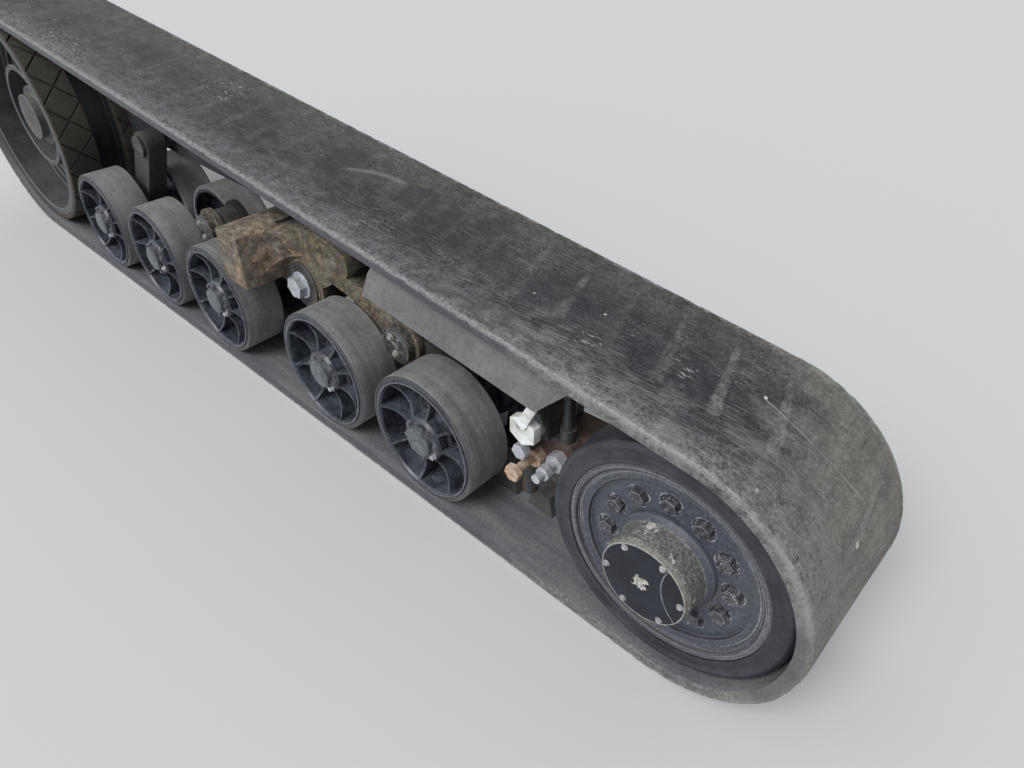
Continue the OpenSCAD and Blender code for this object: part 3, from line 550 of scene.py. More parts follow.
def make_barrel_paint():
    """The front hub's barrel: gritty brown-grey with pale splashes, a smooth dark collar at its root with
    pale lines round it, painted highlights.
    """
    plan = Finish("gritty_hub_barrel")
    place = plan.place()
    radius, rings = plan.rings(FRONT.x, FRONT.z, 90.0)
    grit, mottle = plan.flecks(place, 170.0, 0.5)
    colour = plan.mix(mottle.step(0.3, 0.7), (0.07, 0.068, 0.064), (0.225, 0.22, 0.206))
    colour = colour.coat(grit * 0.85, (0.46, 0.46, 0.44))
    splash = plan.noise(plan.mapping(place, shift=(0.35, 0.2, 0.1)), 26.0, 6.0, 0.7)
    colour = colour.coat(splash.step(0.6, 0.65, 0.0, 0.9), (0.62, 0.62, 0.6))
    smooth = plan.mix(mottle.step(0.3, 0.7), (0.04, 0.047, 0.067), (0.088, 0.096, 0.12))
    # Painted highlight lines round the glossy collar.
    smooth = smooth.coat(rings.step(0.5, 0.7) * 0.35, (0.17, 0.18, 0.2))
    smooth = smooth.coat(grit * 0.3, (0.3, 0.31, 0.33))
    collar = radius.step(0.0925, 0.096)
    return plan.dress(colour.coat(collar, smooth), collar.step(0.0, 1.0, 0.85, 0.45), mottle, 0.5, 0.002)


COVER_RIM_R = 0.0874
CRESCENT_AT = (0.136, 0.033)
CRESCENT_R = 0.099


def make_cover_paint():
    """The hub's cover: dark and smooth, pale dried residue on its plug, a darker crescent beside it with a
    pale line along its edge.
    """
    plan = Finish("smooth_hub_cover")
    place = plan.place()
    plug = plan.rings(FRONT.x - 0.004, FRONT.z + 0.002, 120.0)[0]
    grit, mottle = plan.flecks(place, 120.0, 0.18)
    tone = plan.noise(place, 14.0, 4.0, 0.5).step(0.3, 0.7, 0.7, 1.3)
    colour = plan.mix(1.0, (0.013, 0.015, 0.025), tone, "MULTIPLY").coat(grit * 0.6, (0.2, 0.2, 0.2))
    blob = plug + plan.noise(place, 90.0, 4.0, 0.6).step(0.2, 0.8, -0.012, 0.012)
    lumps = plan.noise(place, 260.0, 3.0, 0.7).step(0.36, 0.6)
    residue = plan.mix(lumps, (0.17, 0.16, 0.14), (0.68, 0.65, 0.58))
    colour = colour.coat(blob.step(0.0155, 0.0105), residue)
    x, _, z = plan.parts(place)
    away = plan.reach(x - (FRONT.x + CRESCENT_AT[0]), z - (FRONT.z + CRESCENT_AT[1])) - CRESCENT_R
    colour = colour.coat(away.step(0.0, -0.003, 0.0, 0.45), (0.009, 0.01, 0.016))
    ridge = abs(away - 0.0008).step(0.0016, 0.0006)
    colour = colour.coat(ridge * mottle.step(0.3, 0.6, 0.3, 0.9), (0.26, 0.28, 0.32))
    radius = plan.reach(x - FRONT.x, z - FRONT.z)
    wall = plan.mix(mottle.step(0.3, 0.7), (0.07, 0.068, 0.062), (0.21, 0.205, 0.19))
    colour = colour.coat(radius.step(COVER_RIM_R, COVER_RIM_R + 0.0008), wall)
    rim = radius.step(COVER_RIM_R - 0.0016, COVER_RIM_R - 0.0006)
    rim = rim * radius.step(COVER_RIM_R + 0.002, COVER_RIM_R + 0.0014)
    colour = colour.coat(rim * mottle.step(0.3, 0.55, 0.25, 0.9), (0.4, 0.39, 0.36))
    plan.feed(plan.shader["Specular IOR Level"], 0.3)
    return plan.dress(colour, mottle.step(0.3, 0.7, 0.3, 0.5), mottle, 0.2, 0.001)


MARK_PITCH = 0.116
MARK_SHIFT = 0.57
MARK_LEAN = 0.32
TOP_START = FRONT.x - DRIVE.x + FRONT_WRAP * (math.pi + RUN_TURN)

# Marks of the top run, as metres back from its front end and across, with the size of each.
WHITE_SPLASHES = (((0.125, 0.006), 0.04), ((0.299, -0.06), 0.032))
CLEAN_PATCHES = (((0.7, 0.1), 0.05), ((1.17, 0.05), 0.085), ((0.91, 0.055), 0.06), ((0.79, 0.05), 0.045))
PALE_SPOTS = (((-0.009, 0.036), 0.0045, 0.55), ((-0.3, -0.011), 0.007, 0.5),
              ((0.33, 0.02), 0.0035, 0.5), ((-0.1, -0.15), 0.004, 0.35), ((0.47, -0.03), 0.003, 0.5))
GOUGES = (((-0.137, -0.13), 0.007), ((-0.039, -0.157), 0.006), ((-0.243, -0.181), 0.008),
          ((-0.214, -0.174), 0.006), ((-0.157, -0.187), 0.009), ((-0.056, -0.188), 0.008),
          ((-0.107, -0.187), 0.006), ((0.743, -0.12), 0.007), ((0.69, -0.145), 0.006))
SMEAR_AT = (1.07, 0.055)


def make_belt_rubber():
    """Smooth belt rubber: gritty, scuffed and marked across by the lugs inside it, dusty along its near
    edge, brown at the far one, pale and finely cracked round the front wheel, dusty inside.
    The piece's own map gives metres along the belt and metres round its cross-section."""
    plan = Finish("scuffed_belt_rubber")
    run = plan.take("ShaderNodeUVMap", uv_map="along_and_across")
    along, around, _ = plan.parts(run)
    across = abs(around)
    x, y, z = plan.parts(plan.place())
    blotch = plan.noise(plan.mapping(run, (1.0, 1.9, 1.0)), 3.6, 7.0, 0.62)
    patch = plan.noise(run, 9.0, 5.0, 0.6)
    grit, mottle = plan.flecks(run, 130.0, 0.58)

    # Ground colour, browner at the far edge and greyer at the near one.
    colour = plan.mix(blotch.step(0.36, 0.64), (0.009, 0.01, 0.014), (0.04, 0.041, 0.046))
    colour = colour.coat(y.step(0.0, 0.15) * patch.step(0.3, 0.6, 0.3, 0.8), (0.057, 0.054, 0.047))
    near = y.step(-0.085, -0.17) * patch.step(0.25, 0.6, 0.35, 0.9)
    colour = colour.coat(near, (0.098, 0.102, 0.11))

    # Pale marks across, over the lugs inside, each with a dark trace beside it.
    wave = (along - y * MARK_LEAN) / MARK_PITCH + (patch - 0.5) * 0.08
    comb = abs(plan.math("FRACT", wave + MARK_SHIFT) - 0.5)
    taper = y.step(-0.1, 0.14, 0.115, 0.05)
    mark = (taper - comb).step(-0.03, 0.03) * y.step(-0.085, -0.055) * y.step(0.15, 0.08)
    worn = plan.noise(plan.mapping(run, (1.6, 1.0, 1.0)), 5.0, 4.0, 0.65).step(0.42, 0.6, 0.15, 1.0)
    mark = mark * worn * x.step(0.9, 1.4, 0.4, 1.0)
    core = x.step(1.0, 1.2) * x.step(1.68, 1.5) * (y.step(-0.1, -0.04) * y.step(0.13, 0.05))
    colour = colour.coat(core * 0.5, (0.015, 0.016, 0.023))
    colour = colour.coat(mark * 0.62, (0.15, 0.152, 0.153))
    trace = abs(comb - (taper + 0.035)).step(0.03, 0.0) * worn * y.step(0.15, 0.08)
    trace = trace * y.step(-0.11, -0.07) * x.step(0.6, 1.2, 0.2, 1.0)
    colour = colour.coat(trace * 0.4, (0.012, 0.013, 0.017))

    # Dust on the near shoulder and round the front wheel.
    front = x.step(1.05, 1.36)
    shoulder = front * y.step(-0.138, -0.19) * patch.step(0.25, 0.6, 0.7, 1.0)
    colour = colour.coat(shoulder * 0.75, (0.17, 0.167, 0.155))
    spread = x + y * 0.45 + blotch.step(0.3, 0.7, -0.07, 0.07)
    wrap = spread.step(1.56, 1.8) * patch.step(0.25, 0.6, 0.7, 1.0)
    colour = colour.coat(wrap * 0.85, (0.195, 0.187, 0.168))
    colour = colour.coat(wrap * z.step(0.26, 0.06) * 0.4, (0.25, 0.243, 0.222))
    streak = plan.noise(plan.mapping(run, (34.0, 3.0, 1.0)), 1.0, 5.0, 0.7)
    grime = streak.step(0.36, 0.64, 0.84, 1.14) * patch.step(0.3, 0.7, 0.86, 1.12)
    colour = colour.coat(wrap.step(0.0, 0.6, 0.35, 1.0), colour.shade(grime))
    colour = colour.coat(mark * wrap * z.step(0.36, 0.52) * 0.35, (0.3, 0.298, 0.285))
    colour = colour.coat(trace * wrap * 0.25, (0.03, 0.03, 0.03))

    # Grain and flecks.
    speck = plan.noise(plan.mapping(run, (0.7, 1.0, 1.0)), 42.0, 4.0, 0.75)
    speck = speck.step(0.36, 0.64, 0.6, 1.36).coat(wrap, speck.step(0.36, 0.64, 0.88, 1.12))
    speck = speck.shade(plan.noise(run, 430.0, 2.0, 0.75).step(0.3, 0.7, 0.62, 1.42))
    clouded = mottle.step(0.28, 0.72, 0.4, 1.75).coat(wrap, mottle.step(0.28, 0.72, 0.74, 1.26))
    colour = colour.shade(speck).shade(clouded)
    colour = colour.coat(grit * y.step(-0.03, -0.1, 0.54, 0.75), (0.27, 0.268, 0.26))

    # Scuffs along the belt.
    scuff = plan.scuffs(run, 9.0, 0.5)
    fine = plan.scuffs(plan.mapping(run, turn=0.12), 22.0, 0.95)
    rubbed = y.step(-0.02, -0.09) * x.step(0.8, 1.3, 0.35, 1.0)
    colour = colour.coat(scuff * 0.36, (0.22, 0.22, 0.218))
    colour = colour.coat(fine * rubbed.step(0.0, 1.0, 0.14, 0.52), (0.23, 0.23, 0.228))

    # Splashes, clean patches, a smear, a drawn line, spots and hair cracks.
    u, v = along - TOP_START, y
    cloud = plan.noise(run, 3.3, 3.0, 0.5).step(0.585, 0.66)
    for at, size in WHITE_SPLASHES:
        cloud = plan.math("MAXIMUM", cloud, plan.spot(u, v, at, size, patch))
    splash = plan.noise(plan.mapping(run, (0.55, 1.6, 1.0), 0.5), 85.0, 3.0, 0.6).step(0.57, 0.63) * cloud
    colour = colour.coat(splash * 0.65, (0.33, 0.33, 0.325))
    for at, size in CLEAN_PATCHES:
        colour = colour.coat(plan.spot(u, v, at, size, patch) * 0.5, (0.012, 0.013, 0.018))
    bow = u - 0.99
    smear = abs(v - (0.077 - bow * bow * 2.7)).step(0.016, 0.0) * plan.spot(u, v, SMEAR_AT, 0.1, patch)
    colour = colour.coat(smear * 0.42, (0.27, 0.27, 0.262))
    bow = u + 0.11
    drawn = u.step(-0.27, -0.22) * u.step(-0.005, -0.012)
    drawn = drawn * abs(v - 0.018 - bow * bow * 1.4).step(0.0014, 0.0005)
    colour = colour.coat(drawn * patch.step(0.35, 0.55, 0.3, 0.85), (0.38, 0.375, 0.36))
    grain = plan.noise(run, 120.0, 4.0, 0.6)
    for at, size, tone in PALE_SPOTS:
        colour = colour.coat(plan.spot(u, v, at, size, grain), (tone, tone * 0.98, tone * 0.88))
    for turn, size in ((0.5, 1.6), (-0.9, 1.3), (1.3, 2.0)):
        line = plan.mapping(run, (1.0, 2.2, 1.0), turn, (turn * 5.0, 1.0, 0.0))
        line = abs(plan.noise(line, size, 0.0, 0.5) - 0.53).step(0.0009, 0.0003)
        line = line * plan.noise(run, 4.1 + turn, 4.0, 0.6).step(0.52, 0.62, 0.0, 0.45)
        colour = colour.coat(line, (0.33, 0.33, 0.325))

    # Nicks, gouges and cracks, which also dent the surface.
    nick = plan.noise(plan.mapping(run, (1.0, 1.4, 1.0)), 34.0, 2.0, 0.5)
    nick = nick + (wrap.step(0.0, 0.7, 0.0, 0.02) + near.step(0.0, 0.8, 0.0, 0.02))
    colour = colour.coat(nick.step(0.735, 0.75) * 0.5, (0.36, 0.355, 0.33))
    pit = nick.step(0.755, 0.775)
    torn = plan.noise(plan.mapping(run, (1.0, 1.7, 1.0)), 150.0, 3.0, 0.8).step(0.38, 0.62, -0.1, 1.1)
    for at, size in GOUGES:
        pit = plan.math("MAXIMUM", pit, plan.spot(u, v, at, size, torn) * 0.8)
    colour = colour.coat(pit * 0.85, (0.018, 0.018, 0.02))
    crack = plan.noise(plan.mapping(run, (70.0, 6.0, 1.0)), 1.0, 4.0, 0.65).step(0.37, 0.32) * wrap
    colour = colour.coat(crack * 0.45, (0.05, 0.048, 0.043))

    # Rubbed corners, dark side faces, a painted shadow along the near lip low on the front wrap, and the
    # dusty inner face.
    ragged = across + plan.noise(run, 42.0, 5.0, 0.75).step(0.2, 0.8, -0.012, 0.012)
    edge = ragged.step(0.176, 0.188) * ragged.step(0.202, 0.196) * mottle.step(0.34, 0.6, 0.3, 1.0)
    lower = front * z.step(0.43, 0.33)
    colour = colour.coat(edge * lower.step(0.0, 1.0, 1.0, 0.25) * 0.8, (0.275, 0.275, 0.265))
    side = across.step(0.194, 0.2) * across.step(0.226, 0.218)
    clean = wrap.step(0.0, 0.8, 0.8, 0.3) * front.step(0.0, 1.0, 1.0, 0.3)
    colour = colour.coat(side * clean, (0.05, 0.053, 0.064))
    # Painted shadow: a dark line along the near lip, low on the front wrap.
    lip = across.step(0.18, 0.2) * z.step(0.08, 0.16)
    colour = colour.coat(lip * lower * 0.62, (0.072, 0.077, 0.09))
    inside = across.step(0.216, 0.222)
    tread = plan.noise(plan.mapping(run, (0.5, 3.0, 1.0)), 6.0, 5.0, 0.6).step(0.3, 0.7)
    tread = plan.mix(tread, (0.115, 0.122, 0.133), (0.2, 0.206, 0.212))
    colour = colour.coat(inside, tread.shade(mottle.step(0.3, 0.7, 0.75, 1.25)))

    rough = (blotch * 0.6 + wrap * 0.3).step(0.25, 0.7, 0.46, 0.88)
    height = mottle * 0.6 + scuff * -0.3 + (crack + pit) * -0.8
    return plan.dress(colour, rough, height * inside.step(0.0, 1.0, 1.0, 0.2), 0.45, 0.0016)


cap_white = make_cap_finish()
wheel_paint = make_wheel_paint()
barrel_paint = make_barrel_paint()
cover_paint = make_cover_paint()
belt_rubber = make_belt_rubber()


# Making and placing pieces


def new_piece(name, mesh, finish, body, slot, replaces=(), smooth=30.0):
    """Puts a mesh in the scene as a piece that rides on a body."""
    for polygon in mesh.polygons:
        polygon.use_smooth = True
    mesh.set_sharp_from_angle(angle=math.radians(smooth))
    if finish is not None:
        mesh.materials.clear()
        mesh.materials.append(finish)
    piece = bpy.data.objects.new(name, mesh)
    bpy.context.scene.collection.objects.link(piece)
    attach(piece, body)
    if replaces:
        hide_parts(*replaces)
    return piece


def face_outward(bm, faces):
    """Turns each closed shell among these faces so that it faces outward."""
    waiting = set(faces)
    while waiting:
        shell = [waiting.pop()]
        origin = shell[0].verts[0].co.copy()
        volume = 0.0
        for face in shell:
            first, *others = [vert.co - origin for vert in face.verts]
            volume += sum(first.dot(here.cross(there)) for here, there in zip(others, others[1:]))
            beside = {other for edge in face.edges for other in edge.link_faces} & waiting
            waiting -= beside
            shell.extend(beside)
        if volume < 0:
            bmesh.ops.reverse_faces(bm, faces=shell)


def mesh_of(bm, name):
    mesh = bpy.data.meshes.new(name)
    bmesh.ops.recalc_face_normals(bm, faces=bm.faces)
    face_outward(bm, bm.faces)
    bm.to_mesh(mesh)
    bm.free()
    return mesh


def turned(bm, centre, profile, segments=96, side=None):
    """A closed ring turned about an axle along Y; profile is radius and Y, going round the section once;
    side is the run of profile steps that take the second finish."""
    rings = []
    for k in range(segments):
        angle = 2 * math.pi * k / segments
        c, s = math.cos(angle), math.sin(angle)
        rings.append([bm.verts.new((centre[0] + r * c, y, centre[1] + r * s)) for r, y in profile])
    count = len(profile)
    for k in range(segments):
        here, there = rings[k], rings[(k + 1) % segments]
        for j in range(count):
            i = (j + 1) % count
            face = bm.faces.new((here[j], here[i], there[i], there[j]))
            face.material_index = 1 if side and side[0] <= j < side[1] else 0


def round_corner(centre, radius, start, stop, steps):
    """Points on a rounded corner of a profile, angles in degrees."""
    return [(centre[0] + radius * math.cos(math.radians(start + (stop - start) * k / steps)),
             centre[1] + radius * math.sin(math.radians(start + (stop - start) * k / steps)))
            for k in range(steps + 1)]


def soften(node, main, edge, width, smooth=30.0):
    """Stands a merged copy of a CAD node in its place, with a finish and small worn bevels."""
    mesh = cad_nodes[node].data.copy()
    mesh.name = f"{node}_finished"
    normals = mesh.attributes.get("custom_normal")
    if normals:
        mesh.attributes.remove(normals)
    bm = bmesh.new()
    bm.from_mesh(mesh)
    bmesh.ops.remove_doubles(bm, verts=bm.verts, dist=2e-5)
    bmesh.ops.dissolve_limit(bm, angle_limit=math.radians(0.5), verts=bm.verts, edges=bm.edges)
    bm.to_mesh(mesh)
    bm.free()
    mesh.materials.clear()
    mesh.materials.append(main)
    mesh.materials.append(edge)
    for polygon in mesh.polygons:
        polygon.material_index = 0
    piece = new_piece(f"{node}_finished", mesh, None, body_of[node], slot_of[node], [node], smooth)
    bevel = piece.modifiers.new("worn_edges", "BEVEL")
    bevel.width = width
    bevel.segments = 2
    bevel.limit_method = "ANGLE"
    bevel.angle_limit = math.radians(32)
    bevel.harden_normals = True
    bevel.material = 1
    return piece


CAD_FINISH = {
    "belt_guide_lugs": (lug_rubber, lug_rubber, 0.004),
    "front_wheel_outer_rim": (wheel_paint, dull_edge, 0.0015),
    "front_wheel_inner_rim": (wheel_paint, dull_edge, 0.0015),
    "front_wheel_hub": (barrel_paint, barrel_paint, 0.002),
    "front_hub_cover": (cover_paint, cover_paint, 0.001),
    "front_wheel_bolts": (bolt_paint, rib_edge, 0.0008),
    "drive_wheel_rim": (dark_paint, worn_edge, 0.002),
    "drive_wheel_hub": (casting, worn_edge, 0.002),
    "front_bogie_beam": (casting, rusty_edge, 0.004),
    "rear_bogie_beam": (casting, rusty_edge, 0.004),
    "front_bogie_pin": (pin_casting, dull_edge, 0.002),
    "rear_bogie_pin": (pin_casting, dull_edge, 0.002),
    "trailing_roller_arm": (casting, rusty_edge, 0.004),
    "trailing_arm_pin": (pin_casting, dull_edge, 0.002),
    "yoke_casting": (yoke_iron, tan_edge, 0.004),
    "cross_beam": (beam_iron, tan_edge, 0.004),
    "main_pivot_shaft": (dark_steel, dull_edge, 0.002),
    "main_pivot_bolt": (zinc, zinc, 0.003),
    "idler_arm": (red_iron, rusty_edge, 0.004),
    "tension_cylinder": (dark_steel, dull_edge, 0.003),
    "tensioner_block": (block_iron, rusty_edge, 0.003),
    "tensioner_bolts": (zinc, zinc, 0.002),
    "adjuster_bolt": (bolt_rust, bolt_rust, 0.002),
    "tension_feed_pipe": (dark_steel, dull_edge, 0.002),
    "grease_valve_cap": (cap_white, cap_white, 0.003),
    "belt_guard": (guard_paint, worn_edge, 0.001),
    "track_frame": (dark_paint, rusty_edge, 0.003),
    "final_drive_housing": (casting, rusty_edge, 0.003),
}
ROLLER_CAP_R = 0.042
ROLLER_CAP_Y = 0.15
for n in range(1, 6):
    CAD_FINISH[f"roller_{n}_wheels"] = (roller_paint, rib_edge, 0.0009)
    CAD_FINISH[f"roller_{n}_axle"] = (roller_paint, dull_edge, 0.001)


def paint_caps(mesh, axle):
    """Gives the caps on a roller's hubs the third finish."""
    mesh.materials.append(roller_cap_paint)
    for polygon in mesh.polygons:
        spot = polygon.center
        if math.hypot(spot.x - axle.x, spot.z - axle.z) < ROLLER_CAP_R and abs(spot.y) > ROLLER_CAP_Y:
            polygon.material_index = 2


for node, (main, edge, width) in CAD_FINISH.items():
    piece = soften(node, main, edge, width)
    if node.startswith("roller_") and node.endswith("_wheels"):
        paint_caps(piece.data, middle(node))


# Belt


STATION_STEP = 0.009


def on_wrap(centre, radius, angle):
    """A point of the belt's outer line round a wheel, and its outward direction."""
    c, s = math.cos(angle), math.sin(angle)
    return centre.x + radius * c, centre.z + radius * s, c, s


def belt_stations():
    """Points on the belt's outer line and their outward directions, from under the drive wheel forwards."""
    span = FRONT.x - DRIVE.x
    count = int(span / STATION_STEP)
    top = math.pi / 2 + RUN_TURN
    stations = [(DRIVE.x + span * k / count, 0.0, 0.0, -1.0) for k in range(count)]
    turns = int(FRONT_WRAP * (math.pi + RUN_TURN) / (STATION_STEP * 0.8))
    for k in range(turns):
        stations.append(on_wrap(FRONT, FRONT_WRAP, -math.pi / 2 + (math.pi + RUN_TURN) * k / turns))
    start, stop = on_wrap(FRONT, FRONT_WRAP, top), on_wrap(DRIVE, DRIVE_WRAP, top)
    reach = stop[0] - start[0], stop[1] - start[1]
    for t in [k / count for k in range(count)]:
        stations.append((start[0] + reach[0] * t, start[1] + reach[1] * t, *start[2:]))
    turns = int(DRIVE_WRAP * (math.pi - RUN_TURN) / (STATION_STEP * 0.8))
    for k in range(turns):
        stations.append(on_wrap(DRIVE, DRIVE_WRAP, top + (math.pi - RUN_TURN) * k / turns))
    return stations


def belt_section():
    """Cross-section as (Y, depth below the outer face, wear), going round once."""
    outer, inner = 0.007, 0.004
    flat, flat_in = BELT_HALF - outer, BELT_HALF - inner
    side = []
    for k in range(1, 6):
        a = math.radians(90 * k / 5)
        side.append((flat + outer * math.sin(a), outer * (1 - math.cos(a)), 1.0))
    side.append((BELT_HALF, 0.016, 0.5))
    for k in range(4):
        a = math.radians(90 * k / 3)
        side.append((BELT_HALF - inner * (1 - math.cos(a)), BELT_THICK - inner * (1 - math.sin(a)), 0.3))
    points = [(-flat + 2 * flat * k / 28, 0.0, 0.1) for k in range(29)] + side
    points += [(flat_in - 2 * flat_in * k / 12, BELT_THICK, 0.0) for k in range(1, 12)]
    return points + [(-y, depth, wear) for y, depth, wear in reversed(side)]


def belt_point(x, z, nx, nz, run, y, depth, wear):
    """One point of the worn belt: dented face, chipped shoulders, torn near lip low on the front wrap."""
    side = 1 if y > 0 else -1
    if depth == BELT_THICK:
        return (x - nx * depth, y, z - nz * depth)
    down, inward = depth, 0.0
    if wear > 0.4:
        chip = max(0.0, noise.fractal(Vector((run * 60, side * 3.0, depth * 90)), 0.9, 2.0, 4) - 0.05)
        bite = max(0.0, noise.noise(Vector((run * 9, side * 7.0, 2.0))) - 0.25)
        inward = 0.0022 * chip + (0.005 if side < 0 else 0.002) * bite * chip
        down += 0.6 * inward if depth < 0.01 else 0.0
    dent = 0.5 + 0.5 * noise.noise(Vector((run * 5, y * 9, 4.0)))
    if depth == 0:
        pit = max(0.0, noise.noise(Vector((run * 24, y * 30, 9.0))) - 0.42)
        down += 0.0012 * dent + 0.004 * pit * (1.6 if nx > 0.3 else 0.5)
    if side < 0 and nx > 0.0 and abs(y) > 0.15:
        angle = math.degrees(math.atan2(nz, nx))
        torn = max(0.0, 1 - abs(angle + 10) / 20)
        lip = 0.004 + 0.004 * noise.noise(Vector((run * 30, y * 20, 6.0)))
        shoulder = max(0.0, (abs(y) - 0.168) / 0.022) * (1 if depth < 0.012 else 0.4)
        down += torn * lip * shoulder
        inward += torn * lip * 0.6 * shoulder
    return (x - nx * down, y - side * inward, z - nz * down)


def lengths_round(points):
    """Distance to each point of a closed line from its first one, and last the whole way round."""
    lengths = [0.0]
    for here, there in zip(points, points[1:] + points[:1]):
        lengths.append(lengths[-1] + math.hypot(there[0] - here[0], there[1] - here[1]))
    return lengths


def make_belt():
    stations, section = belt_stations(), belt_section()
    rounds, along = lengths_round(section), lengths_round(stations)
    start = section[0][0]
    bm = bmesh.new()
    rows = []
    for run, (x, z, nx, nz) in zip(along, stations):
        rows.append([bm.verts.new(belt_point(x, z, nx, nz, run, *point)) for point in section])
    layer = bm.loops.layers.uv.new("along_and_across")
    count = len(section)
    total = rounds[-1]
    for k in range(len(stations)):
        here, there = rows[k], rows[(k + 1) % len(rows)]
        for j in range(count):
            i = (j + 1) % count
            face = bm.faces.new((here[j], there[j], there[i], here[i]))
            for loop, u, v in zip(face.loops, (k, k + 1, k + 1, k), (j, j, j + 1, j + 1)):
                turn = start + rounds[v]
                loop[layer].uv = (along[u], turn if turn < total / 2 else turn - total)
    for face in bm.faces:
        values = [loop[layer].uv.y for loop in face.loops]
        if max(values) - min(values) > total / 2:
            for loop in face.loops:
                if loop[layer].uv.y < 0:
                    loop[layer].uv.y += total
    return new_piece("belt_rubber_loop", mesh_of(bm, "belt_rubber_loop"), belt_rubber, "undercarriage",
                     "belt_rubber", ["belt"], 55.0)


make_belt()


# Tyres


TYRE_INNER_Y = 0.059


def ring_profile(r_in, r_out, y_in, y_out, shoulder, side_dip=0.0):
    """Section of a rubber ring on one side of the wheel, from its bore round its outer face at y_out."""
    s = -1 if y_out < 0 else 1
    lo, hi = abs(y_in), abs(y_out)
    points = [(r_in, lo), (r_in, hi - 0.001)]
    mid = (r_in + r_out) / 2
    points += [(r_in + 0.002, hi - 0.0005), (mid - 0.006, hi - side_dip), (mid, hi - side_dip - 0.001),
               (mid + 0.006, hi - side_dip * 0.4)]
    points += round_corner((r_out - shoulder, hi - shoulder), shoulder, 90, 0, 6)
    points += [(r_out, lo + (hi - lo) * 0.6), (r_out, lo + (hi - lo) * 0.3)]
    points += round_corner((r_out - 0.004, lo + 0.004), 0.004, 0, -90, 3)
    return [(r, s * y) for r, y in points]


def make_tyres():
    bm = bmesh.new()
    for s in (-1, 1):
        profile = ring_profile(0.216, 0.26, s * TYRE_INNER_Y, s * 0.17, 0.014, 0.003)
        turned(bm, (FRONT.x, FRONT.z), profile, 128)
    new_piece("front_wheel_rubber", mesh_of(bm, "front_wheel_rubber"), wheel_rubber, "front_wheel",
              "wheel_rubber", ["front_wheel_tyres"], 40.0)
    for n, centre in enumerate(ROLLERS, 1):
        bm = bmesh.new()
        for s in (-1, 1):
            profile = ring_profile(0.159, 0.172, s * TYRE_INNER_Y, s * 0.18, 0.006)
            turned(bm, (centre.x, centre.z), profile, 96, (1, 9))
        mesh = mesh_of(bm, f"roller_{n}_rubber")
        mesh.materials.append(roller_rubber)
        mesh.materials.append(roller_side)
        new_piece(f"roller_{n}_rubber", mesh, None, "undercarriage", "roller_rubber", [f"roller_{n}_tyres"],
                  40.0)


LAG_TURN = 21
LAG_SLANT = 0.915
LAG_STARTS = (math.radians(16.7), math.radians(3.5))
LAG_DEPTH = 0.0048
LAG_BASE = (0.05, 0.17)
LAG_BLOCKS = (0.0505, 0.1695)


def clipped(corners, keep):
    """Cuts a flat outline where keep(point) turns negative."""
    kept = []
    for k, here in enumerate(corners):
        there = corners[(k + 1) % len(corners)]
        a, b = keep(here), keep(there)
        if a >= 0:
            kept.append(here)
        if a * b < 0:
            t = a / (a - b)
            kept.append((here[0] + (there[0] - here[0]) * t, here[1] + (there[1] - here[1]) * t))
    return kept


def lagging_blocks(radius, low, high, gap):
    """Outlines, round the tread and across it, of the blocks that two sets of slanting grooves leave."""
    pitch = 2 * math.pi * radius / LAG_TURN
    first, second = (radius * start for start in LAG_STARTS)
    inset = gap * math.hypot(1, LAG_SLANT) / pitch
    for i in range(LAG_TURN):
        for j in range(i - 9, i + 10):
            corners = []
            near, far = i + inset, i + 1 - inset
            left, right = j + inset, j + 1 - inset
            for p, q in ((near, left), (far, left), (far, right), (near, right)):
                across = (pitch * (p - q) + first - second) / (2 * LAG_SLANT) - 0.16
                corners.append(((pitch * (p + q) + first + second) / 2, across))
            corners = clipped(clipped(corners, lambda point: point[1] - low), lambda point: high - point[1])
            if len(corners) > 2 and max(y for _, y in corners) - min(y for _, y in corners) > 0.008:
                yield corners


